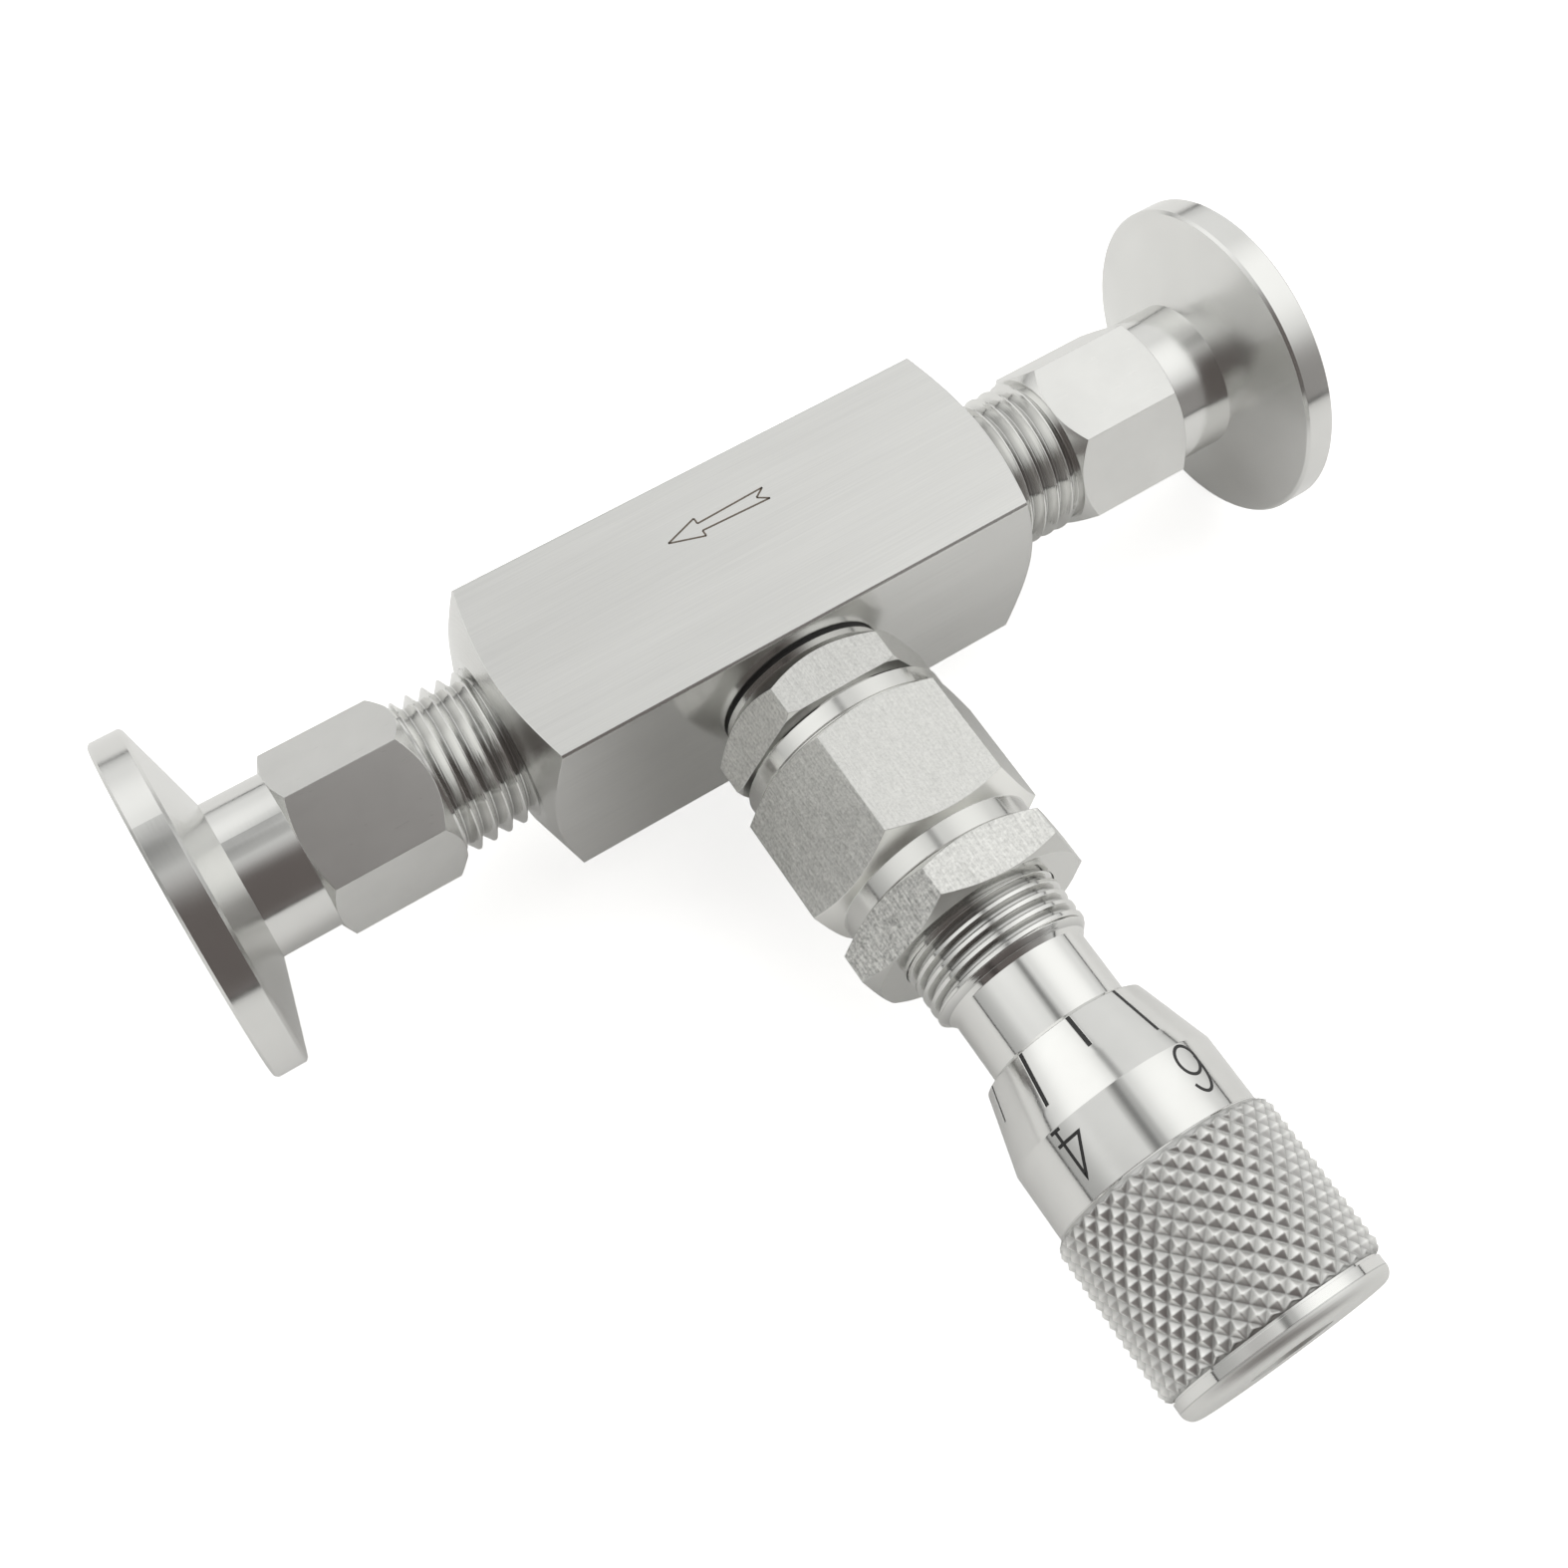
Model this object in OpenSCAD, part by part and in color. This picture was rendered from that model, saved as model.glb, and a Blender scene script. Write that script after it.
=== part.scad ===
// Vacuum needle valve: bar body with two flanged pipe adapters in line,
// and a packed, non-turning needle driven by a micrometer stem and knob.
// The flow axis is X, the stem axis leaves the body along -Y, and the broad face is up.
// The origin is the centre of the inlet flange's sealing face.

/* [Valve body] */
// Length of the bar along the flow axis
body_length = 48; // [46:0.5:60]
// Width of the bar along the stem axis
body_width = 18; // [18:0.5:24]
// Height of the bar
body_height = 19.6; // [19:0.2:24]
// Chamfer along the bar's four long edges
bar_edge = 0.2; // [0.1:0.05:1]
// Angle of the turned chamfer at both ends of the bar
end_chamfer_angle = 20; // [8:1:30]
// Diameter of the flat ring round each port
end_flat_d = 15.6; // [15:0.1:17]
// Diameter of the hole drilled behind each pipe thread
port_drill_d = 10; // [9:0.5:11]
// Depth of that hole from the end of the bar
port_drill_depth = 13.5; // [12:0.5:14]
// Diameter of the two cross passages
passage_d = 2.2; // [1.6:0.1:2.4]
// Distance of the inlet passage behind the flow axis
inlet_passage_offset = 3.2; // [3:0.1:3.4]
// Distance of the outlet passage in front of the flow axis
outlet_passage_offset = 2.4; // [2.2:0.1:2.6]
// Diameter of the chamber above the seat
chamber_d = 5.2; // [4.4:0.1:6]

/* [Pipe thread] */
// Crest diameter where the pipe thread enters the body
pipe_thread_d = 13.6; // [13.2:0.1:14.2]
// Depth of the pipe thread
pipe_thread_depth = 0.95; // [0.7:0.05:1.1]
// Length of the threaded end of an adapter
pipe_thread_length = 13.3; // [11:0.1:15]
// Length of it that is screwed into the body
pipe_engagement = 6.5; // [5:0.5:8]

/* [Flanged adapters] */
// Diameter of the flange
flange_d = 30; // [27:0.5:36]
// Width of the flange's rim
flange_rim = 2.9; // [2.4:0.1:3.6]
// Angle of the clamping taper behind the rim
flange_taper = 15; // [10:1:18]
// Diameter of the recess for the centring ring
ring_recess_d = 17.2; // [16.2:0.1:20]
// Depth of that recess
ring_recess_depth = 3; // [1.5:0.1:3.5]
// Diameter of the flow bore
flow_bore_d = 8; // [5:0.5:9]
// Diameter of the neck behind the flange
neck_d = 13.8; // [13:0.1:14]
// Distance from the sealing face to the adapter's hexagon
neck_length = 10.2; // [9:0.1:16]
// Width of the adapter's hexagon across its flats
adapter_hex = 14.1; // [14.1:0.1:17]
// Length of that hexagon
adapter_hex_length = 11.2; // [8:0.2:16]
// Turn of the inlet adapter's hexagon
inlet_hex_turn = 36; // [0:1:60]
// Turn of the outlet adapter's hexagon
outlet_hex_turn = 2; // [0:1:60]

/* [Seat and needle] */
// Diameter of the orifice
orifice_d = 1.6; // [1.2:0.1:1.8]
// Distance of the seat's edge in front of the flow axis
seat_offset = 0.9; // [0.6:0.1:1.1]
// Diameter of the needle's rod
needle_rod_d = 3.2; // [2.8:0.1:3.6]
// Length of the fine taper inside the orifice
needle_taper_length = 3.4; // [2.4:0.1:4]
// Diameter of the needle's tip
needle_tip_d = 0.7; // [0.4:0.05:0.9]
// Diameter of the needle's head
needle_head_d = 8; // [7.4:0.1:8.4]
// Thickness of the head's wall round the swivel
head_wall = 1.3; // [1.1:0.05:1.5]
// Thickness of the head's floor under the ball
head_floor_thickness = 2; // [1.5:0.1:2.5]
// Distance of the head from the barrel's foot when shut
head_setback = 2.6; // [2:0.1:3]
// Diameter of the ball between needle and stem
swivel_ball_d = 2; // [1.6:0.1:2.4]
// Diameter of the pin that keeps the needle from turning
guide_pin_d = 1; // [0.8:0.1:1.2]

/* [Bonnet] */
// Diameter of the bonnet's thread in the body
bonnet_thread_d = 11.2; // [10.6:0.1:12]
// Depth of the threaded hole for the bonnet
bonnet_hole_depth = 5.4; // [5:0.1:5.6]
// Thickness of the gasket under the bonnet
gasket_thickness = 0.3; // [0.2:0.05:1.2]
// Width of the gasket, from its hole to its rim
gasket_width = 1.8; // [1:0.1:2]
// Width of the bonnet's hexagon across its flats
bonnet_hex = 17.2; // [17:0.1:19]
// Length of that hexagon with the ring at its foot
bonnet_hex_length = 5.4; // [4.5:0.1:8]
// Height of the turned ring at the hexagon's foot
bonnet_ring_height = 0.6; // [0.2:0.1:1.2]
// Diameter of the bonnet's upper thread
bonnet_neck_d = 16; // [15:0.1:16.6]
// Length of the bonnet's upper thread
bonnet_neck_length = 7.1; // [6:0.1:9]
// Turn of the bonnet's hexagon
bonnet_hex_turn = 0; // [-30:1:30]

/* [Packing] */
// Diameter of the packing chamber
packing_d = 8; // [7:0.1:9]
// Height of one packing ring
packing_height = 2; // [1.6:0.1:2.2]
// Rise of the vee in a packing ring
packing_vee = 0.6; // [0.3:0.05:0.8]
// Height of the metal ring under the packing
base_ring_height = 1.4; // [1.2:0.1:2]
// Diameter of the gland's head
gland_head_d = 13; // [11:0.1:13.4]
// Height of the gland's head
gland_head_height = 2.2; // [2:0.1:3]

/* [Union nut] */
// Width of the nut across its flats
union_hex = 19; // [18.8:0.1:22]
// Gap between the bonnet's hexagon and the union nut
union_gap = 0.55; // [0.2:0.05:1]
// Length of the collar towards the body
union_inner_collar = 1.9; // [1:0.1:3]
// Diameter of the collar towards the body
union_inner_collar_d = 18.8; // [18:0.1:18.8]
// Width of the groove between that collar and the hexagon
union_groove_width = 0.2; // [0.1:0.05:0.5]
// Depth of that groove
union_groove_depth = 0.15; // [0.1:0.05:0.4]
// Length of the nut's hexagon with its chamfers
union_hex_length = 11.6; // [9:0.1:16]
// Length of the collar towards the knob
union_outer_collar = 2; // [1.5:0.1:4]
// Diameter of the collar towards the knob
union_outer_collar_d = 17.6; // [16.6:0.1:18.6]
// Turn of the union nut's hexagon
union_hex_turn = -5; // [-30:1:30]

/* [Barrel] */
// Diameter of the barrel's collar inside the union nut
barrel_collar_d = 15.8; // [15:0.1:15.8]
// Thickness of that collar
barrel_collar_thickness = 2.6; // [2:0.1:3.4]
// Diameter of the barrel's shank in the union nut
barrel_shank_d = 13.9; // [13.5:0.1:14]
// Crest diameter of the panel thread
panel_thread_d = 14.1; // [14.1:0.05:14.5]
// Length of the panel thread
panel_thread_length = 8.7; // [7:0.1:14]
// Length of the relief behind the panel thread
barrel_relief_length = 0.9; // [0.8:0.1:2.5]
// Diameter of the smooth sleeve under the thimble
sleeve_d = 12.2; // [11:0.1:12.8]
// Length of the smooth sleeve
sleeve_length = 16.3; // [15.5:0.1:20]
// Running gap between the needle's head and the barrel's bore, on the radius
head_gap = 0.06; // [0.03:0.01:0.1]

/* [Panel nut] */
// Width of the panel nut across its flats
panel_hex = 18.9; // [18:0.1:24]
// Thickness of the panel nut
panel_nut_thickness = 4.2; // [3:0.1:5]
// Turn of the panel nut's hexagon
panel_hex_turn = -8; // [-30:1:30]

/* [Stem and knob] */
// Diameter of the stem
stem_d = 6; // [5:0.1:6.6]
// Travel of the needle from shut to fully open
needle_travel = 5; // [3:0.1:5.4]
// Gap between the relief and the thimble when shut
thimble_gap = 6.05; // [5.75:0.05:7]
// Diameter of the thimble's front edge
thimble_front_d = 14.5; // [14:0.1:16]
// Length of the graduated cone
cone_length = 6.2; // [5:0.1:9]
// Diameter of the number band
thimble_d = 18; // [17:0.1:19]
// Length of the number band
number_band_length = 5.7; // [4.5:0.1:9]
// Number of graduations on the cone
graduations = 10; // [5:1:20]
// Width of a graduation line
graduation_width = 0.36; // [0.2:0.02:0.5]
// Depth of a graduation line
graduation_depth = 0.16; // [0.08:0.02:0.25]
// Length of a long graduation line
long_graduation = 4.7; // [3:0.1:5]
// Length of a short graduation line
short_graduation = 3; // [1.5:0.1:4]
// Turn of the line numbered zero when the valve is shut
graduation_turn = 277.5; // [0:0.5:360]
// Diameter of the knob over the knurl
knob_d = 19.6; // [19.2:0.1:24]
// Length of the knurled band
knurl_length = 13.5; // [8:0.1:18]
// Number of knurl points round the knob
knurl_count = 36; // [30:2:56]
// Height of one row of knurl points
knurl_row = 0.84; // [0.7:0.02:1.6]
// Depth of the knurl
knurl_depth = 0.5; // [0.2:0.05:0.6]
// Diameter of the smooth land behind the knurl
knob_land_d = 18.5; // [18.2:0.1:19]
// Length of the smooth land with its rounded edge
knob_land_length = 2; // [1.8:0.1:5]
// Width of the groove between the knurl and the land
knob_groove_width = 0.2; // [0.1:0.05:0.5]
// Depth of that groove
knob_groove_depth = 0.25; // [0.1:0.05:0.4]
// Radius of the knob's rounded rear edge
knob_edge_radius = 1; // [0.4:0.1:1.6]

/* [Knob screw] */
// Diameter of the screw's thread
screw_d = 4; // [3:0.1:4]
// Diameter of the screw's head
screw_head_d = 7; // [5.5:0.1:7.4]
// Height of the screw's head
screw_head_height = 2.8; // [2:0.1:3.2]
// Width of the screw's socket across its flats
screw_socket = 3; // [1.5:0.1:3.5]
// Thickness of the washer under the screw's head
screw_washer_thickness = 0.6; // [0.4:0.1:1]
// Thickness of the knob's web between the washer and the stem
knob_web = 4; // [3:0.1:5]
// Length of the screw inside the stem
screw_engagement = 7; // [5:0.5:9]

/* [Hidden] */

$fn = 96;
// Gap of a running fit, on the radius
running_gap = 0.05;
// Gap between parts screwed or pressed together, on the radius
seated_gap = 0.02;
// How far a cut runs past the face that it opens
past = 1;
// Half of a pipe thread's taper, on the radius
pipe_slope = 1 / 32;
// Angles of the hexagons' chamfers
nut_chamfer = 30;
adapter_front_chamfer = 45;
bonnet_foot_chamfer = 40;
// Small edge breaks
edge_break = 0.25;
drill_point_angle = 118;
steel = [0.78, 0.78, 0.77];
bright_steel = [0.86, 0.86, 0.86];
hard_steel = [0.55, 0.56, 0.58];
packing_white = [0.94, 0.94, 0.9];
bronze = [0.75, 0.6, 0.36];
soft_black = [0.1, 0.1, 0.1];

// Stations along the flow axis, from its crossing with the stem axis
body_end = body_length / 2;
adapter_tip = body_end - pipe_engagement;
adapter_hex_start = adapter_tip + pipe_thread_length;
adapter_hex_end = adapter_hex_start + adapter_hex_length;
sealing_face = adapter_hex_end + neck_length;
port_bottom = body_end - port_drill_depth;

// Stations along the stem axis, from its crossing with the flow axis
body_front = body_width / 2;
bonnet_hole_bottom = body_front - bonnet_hole_depth;
bonnet_foot = body_front + gasket_thickness;
bonnet_tip = bonnet_hole_bottom + 0.2;
bonnet_shoulder = bonnet_foot + bonnet_hex_length;
bonnet_top = bonnet_shoulder + bonnet_neck_length;
packing_floor = bonnet_foot - base_ring_height;
packing_start = packing_floor + base_ring_height;
packing_end = packing_start + 3 * packing_height;
gland_lift = 0.3;
gland_top = bonnet_top + gland_lift;
gland_head_bottom = gland_top - gland_head_height;
union_start = bonnet_shoulder + union_gap;
union_hex_start = union_start + union_inner_collar;
union_hex_end = union_hex_start + union_hex_length;
union_end = union_hex_end + union_outer_collar;
barrel_foot = gland_top;
barrel_shoulder = barrel_foot + barrel_collar_thickness;
panel_nut_gap = 0.1;
panel_nut_start = union_end + panel_nut_gap;
panel_nut_end = panel_nut_start + panel_nut_thickness;
panel_thread_end = union_end + panel_thread_length;
sleeve_start = panel_thread_end + barrel_relief_length;
sleeve_end = sleeve_start + sleeve_length;
thimble_front = sleeve_start + thimble_gap;
number_band_start = thimble_front + cone_length;
knob_front = number_band_start + number_band_length;
knob_spigot_length = 1;
knob_spigot_start = knob_front - knob_spigot_length;

// The needle and its swivel
head_foot = barrel_foot + head_setback;
head_floor = head_foot + head_floor_thickness;
ball_centre = head_floor + seated_gap + swivel_ball_d / 2;
stem_foot = ball_centre + swivel_ball_d / 2 + running_gap;
stem_button_thickness = 1.3;
stem_neck_start = stem_foot + stem_button_thickness;
retainer_start = stem_neck_start + running_gap;
retainer_thickness = 1.2;
head_top = retainer_start + retainer_thickness;
stem_shoulder = head_top + 0.4;
head_bore_end = head_top + needle_travel + 0.2;
stem_neck_d = 2.4;
cup_d = needle_head_d - 2 * head_wall;
stem_button_d = cup_d - 1;
guide_pin_station = union_end - guide_pin_d / 2 - running_gap;
guide_slot_depth = 0.8;
head_bore_d = needle_head_d + 2 * head_gap;

// The knob: chamfer, knurled band, land, rounded edge and flat end
thimble_socket_wall = 1.4;
knob_chamfer_length = (knob_d - 2 * knurl_depth - thimble_d) / 2;
knurl_start = knob_front + max(knob_chamfer_length, 0.1);
knurl_end = knurl_start + knurl_length;
knob_end = knurl_end + knob_land_length;
knob_core_d = knob_d - 2 * knurl_depth - 0.2;
screw_head_top = knob_end - 0.6;
screw_head_bottom = screw_head_top - screw_head_height;
screw_seat = screw_head_bottom - screw_washer_thickness;
stem_top = screw_seat - knob_web;
screw_tip = stem_top - screw_engagement;

// Places the crossing of the two axes, so that the origin is the inlet's sealing face
module at_crossing() translate([-sealing_face, 0, 0]) children();

// Points a shape's own Z out along the stem
module along_stem() at_crossing() rotate([90, 0, 0]) children();

// Points a shape's own Z out through one of the flanges: side 1 is the inlet
module along_flow(side) at_crossing() rotate([0, 90 * side, 0]) children();

// A turned solid from its half section: pairs of radius and station
module turned(outline) rotate_extrude() polygon(outline);

// Radius of a hexagon's corners
function corner(across) = across / sqrt(3);

// A hexagon along Z whose corners are turned off at both ends.
// Each end has the radius where its chamfer meets the end face, and the start has its own angle.
module turned_hex(across, start, end, start_radius, end_radius, start_angle, turn) {
    reach = corner(across) + past;
    start_rise = (reach - start_radius) * tan(start_angle);
    end_rise = (reach - end_radius) * tan(nut_chamfer);
    intersection() {
        rotate([0, 0, turn]) translate([0, 0, start]) cylinder(h = end - start, r = corner(across), $fn = 6);
        turned([[0, start], [start_radius, start], [reach, start + start_rise],
                [reach, end - end_rise], [end_radius, end], [0, end]]);
    }
}

// A plain hole along Z
module hole(diameter, start, end) translate([0, 0, start]) cylinder(h = end - start, d = diameter);

// Crest radius of the pipe thread at a station of the flow axis
function pipe_radius(station) = pipe_thread_d / 2 + (station - body_end) * pipe_slope;

// A taper-threaded port and the drilled hole behind it
module port() {
    mouth = pipe_radius(body_end) + seated_gap;
    tap_bottom = adapter_tip - 1;
    drill_radius = port_drill_d / 2;
    turned([[0, body_end + past], [mouth + past * pipe_slope, body_end + past], [mouth, body_end],
            [pipe_radius(tap_bottom) + seated_gap, tap_bottom], [drill_radius, tap_bottom],
            [drill_radius, port_bottom],
            [0, port_bottom - drill_radius / tan(drill_point_angle / 2)]]);
}

// The bar along X, centred on the crossing, with its long edges chamfered
module bar() {
    half_width = body_width / 2;
    half_height = body_height / 2;
    corners = [[half_height - bar_edge, half_width], [half_height, half_width - bar_edge]];
    rotate([0, 90, 0]) linear_extrude(body_length, center = true)
        polygon([corners[0], corners[1],
                 [corners[1].x, -corners[1].y], [corners[0].x, -corners[0].y],
                 -corners[0], -corners[1],
                 [-corners[1].x, corners[1].y], [-corners[0].x, corners[0].y]]);
}

module valve_body() {
    cone_reach = norm([body_width, body_height]) / 2 + past;
    cone_back = (cone_reach - end_flat_d / 2) * tan(end_chamfer_angle);
    color(steel) difference() {
        intersection() {
            at_crossing() bar();
            along_flow(1) turned([[0, -body_end], [end_flat_d / 2, -body_end],
                                  [cone_reach, -body_end + cone_back], [cone_reach, body_end - cone_back],
                                  [end_flat_d / 2, body_end], [0, body_end]]);
        }
        along_flow(1) port();
        along_flow(-1) port();
        at_crossing() translate([0, inlet_passage_offset, 0]) rotate([0, 90, 0])
            hole(passage_d, -orifice_d / 2, port_bottom + past);
        at_crossing() translate([0, -outlet_passage_offset, 0]) rotate([0, -90, 0])
            hole(passage_d, 0, port_bottom + past);
        along_stem() {
            hole(orifice_d, -inlet_passage_offset, seat_offset + past);
            hole(chamber_d, seat_offset, body_front);
            hole(bonnet_thread_d + 2 * seated_gap, bonnet_hole_bottom, body_front + past);
        }
    }
}

// Flange, neck, hexagon and taper-threaded end of an adapter, with its bore
module adapter(side, turn) {
    tip = pipe_radius(adapter_tip);
    mouth = pipe_radius(body_end);
    core = mouth - pipe_thread_depth;
    flange_radius = flange_d / 2;
    neck_radius = neck_d / 2;
    rim_back = sealing_face - flange_rim;
    neck_end = rim_back - (flange_radius - neck_radius) * tan(flange_taper);
    tip_chamfer = 0.6;
    color(bright_steel) along_flow(side) difference() {
        union() {
            turned([[0, adapter_tip], [tip - tip_chamfer, adapter_tip], [tip, adapter_tip + tip_chamfer],
                    [mouth, body_end], [core, body_end], [core, adapter_hex_start + past],
                    [0, adapter_hex_start + past]]);
            turned_hex(adapter_hex, adapter_hex_start, adapter_hex_end, adapter_hex / 2, adapter_hex / 2,
                       adapter_front_chamfer, turn);
            turned([[0, adapter_hex_end - past], [neck_radius, adapter_hex_end - past],
                    [neck_radius, neck_end], [flange_radius - edge_break, rim_back],
                    [flange_radius, rim_back + edge_break], [flange_radius, sealing_face - edge_break],
                    [flange_radius - edge_break, sealing_face], [0, sealing_face]]);
        }
        hole(flow_bore_d, adapter_tip - past, sealing_face);
        hole(ring_recess_d, sealing_face - ring_recess_depth, sealing_face + past);
    }
}

module inlet_adapter() adapter(1, inlet_hex_turn);

module outlet_adapter() adapter(-1, outlet_hex_turn);

module bonnet_gasket() color(soft_black) along_stem() difference() {
    hole(bonnet_thread_d + 2 * gasket_width, body_front, bonnet_foot);
    hole(bonnet_thread_d + 0.1, body_front - past, bonnet_foot + past);
}

module bonnet() {
    shank = bonnet_thread_d / 2;
    neck = bonnet_neck_d / 2;
    ring = shank + gasket_width + 0.2;
    ring_end = bonnet_foot + bonnet_ring_height;
    hex_end_radius = (bonnet_hex / 2 + 2 * corner(bonnet_hex)) / 3;
    counterbore = bonnet_top - gland_head_height;
    color(steel) along_stem() difference() {
        union() {
            turned([[0, bonnet_tip], [shank - 0.5, bonnet_tip], [shank, bonnet_tip + 0.5],
                    [shank, bonnet_foot], [ring, bonnet_foot], [ring, ring_end + past / 2],
                    [0, ring_end + past / 2]]);
            turned_hex(bonnet_hex, ring_end, bonnet_shoulder, ring, hex_end_radius,
                       bonnet_foot_chamfer, bonnet_hex_turn);
            turned([[0, bonnet_shoulder - past], [neck, bonnet_shoulder - past], [neck, bonnet_top - 0.5],
                    [neck - 0.5, bonnet_top], [0, bonnet_top]]);
        }
        hole(needle_rod_d + 2 * running_gap, bonnet_tip - past, bonnet_top);
        hole(packing_d, packing_floor, bonnet_top);
        hole(gland_head_d + 2 * seated_gap, counterbore, bonnet_top + past);
    }
}

// Radii of the packing space between the needle's rod and the bonnet's bore
packing_inner = needle_rod_d / 2 + running_gap;
packing_outer = packing_d / 2 - seated_gap;
packing_middle = (packing_inner + packing_outer) / 2;

module packing_base_ring() color(hard_steel) along_stem()
    turned([[packing_inner, packing_floor], [packing_outer, packing_floor],
            [packing_outer, packing_start], [packing_middle, packing_start + packing_vee],
            [packing_inner, packing_start]]);

// One vee ring: the number counts from the base ring
module packing_ring(number) {
    low = packing_start + number * packing_height;
    high = low + packing_height;
    color(packing_white) along_stem()
        turned([[packing_inner, low], [packing_middle, low + packing_vee], [packing_outer, low],
                [packing_outer, high], [packing_middle, high + packing_vee], [packing_inner, high]]);
}

module packing_gland() color(bronze) along_stem()
    turned([[packing_inner, packing_end], [packing_middle, packing_end + packing_vee],
            [packing_outer, packing_end], [packing_outer, gland_head_bottom],
            [gland_head_d / 2, gland_head_bottom], [gland_head_d / 2, gland_top],
            [packing_inner, gland_top]]);

module union_nut() {
    inner_collar = union_inner_collar_d / 2;
    outer_collar = union_outer_collar_d / 2;
    groove = inner_collar - union_groove_depth;
    groove_start = union_hex_start - union_groove_width;
    color(steel) along_stem() difference() {
        union() {
            turned([[0, union_start], [inner_collar - edge_break, union_start],
                    [inner_collar, union_start + edge_break], [inner_collar, groove_start],
                    [groove, groove_start], [groove, union_hex_start + past], [0, union_hex_start + past]]);
            turned_hex(union_hex, union_hex_start, union_hex_end, inner_collar, outer_collar,
                       nut_chamfer, union_hex_turn);
            turned([[0, union_hex_end - past], [outer_collar, union_hex_end - past],
                    [outer_collar, union_end - edge_break], [outer_collar - edge_break, union_end],
                    [0, union_end]]);
        }
        hole(bonnet_neck_d + 2 * seated_gap, union_start - past, barrel_shoulder);
        hole(barrel_shank_d + 2 * seated_gap, barrel_shoulder - past, union_end + past);
    }
}

module stem_barrel() {
    collar = barrel_collar_d / 2;
    shank = barrel_shank_d / 2;
    thread = panel_thread_d / 2;
    sleeve = sleeve_d / 2;
    bore = stem_d / 2 + running_gap;
    color(bright_steel) along_stem() difference() {
        turned([[bore, barrel_foot], [collar, barrel_foot], [collar, barrel_shoulder],
                [shank, barrel_shoulder], [shank, union_end], [thread, union_end],
                [thread, panel_thread_end], [sleeve, sleeve_start], [sleeve, sleeve_end - edge_break],
                [sleeve - edge_break, sleeve_end], [bore, sleeve_end]]);
        hole(head_bore_d, barrel_foot - past, head_bore_end);
        translate([0, 0, guide_pin_station]) rotate([0, 90, 0])
            hole(guide_pin_d + 2 * seated_gap, head_bore_d / 2 - past, shank + past);
    }
}

module guide_pin() color(hard_steel) along_stem() translate([0, 0, guide_pin_station]) rotate([0, 90, 0])
    hole(guide_pin_d, needle_head_d / 2 - guide_slot_depth + running_gap, barrel_shank_d / 2 - seated_gap);

module panel_nut() color(steel) along_stem() difference() {
    turned_hex(panel_hex, panel_nut_start, panel_nut_end, panel_hex / 2, panel_hex / 2,
               nut_chamfer, panel_hex_turn);
    hole(panel_thread_d + 2 * running_gap, panel_nut_start - past, panel_nut_end + past);
}

module valve_needle() {
    rod = needle_rod_d / 2;
    head = needle_head_d / 2;
    seat_radius = orifice_d / 2 - running_gap;
    nose = seat_offset + 1.1;
    color(hard_steel) along_stem() difference() {
        turned([[0, seat_offset - needle_taper_length],
                [needle_tip_d / 2, seat_offset - needle_taper_length], [seat_radius, seat_offset],
                [seat_radius, seat_offset + 0.1], [rod, nose], [rod, head_foot], [head, head_foot],
                [head, head_top], [0, head_top]]);
        hole(cup_d, head_floor, head_top + past);
        translate([head - guide_slot_depth, -(guide_pin_d / 2 + running_gap), head_foot - past])
            cube([needle_head_d, guide_pin_d + 2 * running_gap, head_top - head_foot + 2 * past]);
    }
}

module swivel_ball() color(bright_steel) along_stem() translate([0, 0, ball_centre])
    sphere(d = swivel_ball_d);

// An open ring, which slips on the stem's neck from the side and is pressed into the head
module swivel_retainer() {
    opening = stem_neck_d + 4 * running_gap;
    color(hard_steel) along_stem() difference() {
        hole(cup_d - 2 * seated_gap, retainer_start, head_top);
        hole(opening, retainer_start - past, head_top + past);
        translate([0, -opening / 2, retainer_start - past])
            cube([cup_d, opening, retainer_thickness + 2 * past]);
    }
}

module micrometer_stem() {
    stem = stem_d / 2;
    neck = stem_neck_d / 2;
    button = stem_button_d / 2;
    color(bright_steel) along_stem() difference() {
        turned([[0, stem_foot], [button - edge_break, stem_foot], [button, stem_foot + edge_break],
                [button, stem_neck_start], [neck, stem_neck_start], [neck, stem_shoulder],
                [stem, stem_shoulder], [stem, stem_top], [0, stem_top]]);
        hole(screw_d + 2 * seated_gap, screw_tip - 0.5, stem_top + past);
    }
}

// Engraved lines that start at the thimble's front edge and follow its cone.
// The numbers count up against the turn, so that they rise as the valve opens.
module graduation_lines() {
    slope = atan2((thimble_d - thimble_front_d) / 2, cone_length);
    for (i = [0:graduations - 1])
        rotate([0, 0, graduation_turn - i * 360 / graduations])
            translate([thimble_front_d / 2, 0, thimble_front]) rotate([0, slope, 0])
                translate([-graduation_depth, -graduation_width / 2, -past])
                    cube([past, graduation_width,
                          past + (i % 2 == 0 ? long_graduation : short_graduation)]);
}

module graduated_thimble() {
    front = thimble_front_d / 2;
    band = thimble_d / 2;
    bore = sleeve_d / 2 + running_gap;
    front_rise = 0.35;
    front_inner = max(front - 0.7, bore + 0.05);
    socket = band - thimble_socket_wall;
    color(bright_steel) along_stem() difference() {
        turned([[bore, thimble_front - front_rise], [front_inner, thimble_front - front_rise],
                [front, thimble_front], [band, number_band_start], [band, knob_front],
                [socket + seated_gap, knob_front], [socket + seated_gap, knob_spigot_start],
                [bore, knob_spigot_start]]);
        graduation_lines();
    }
}

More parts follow.
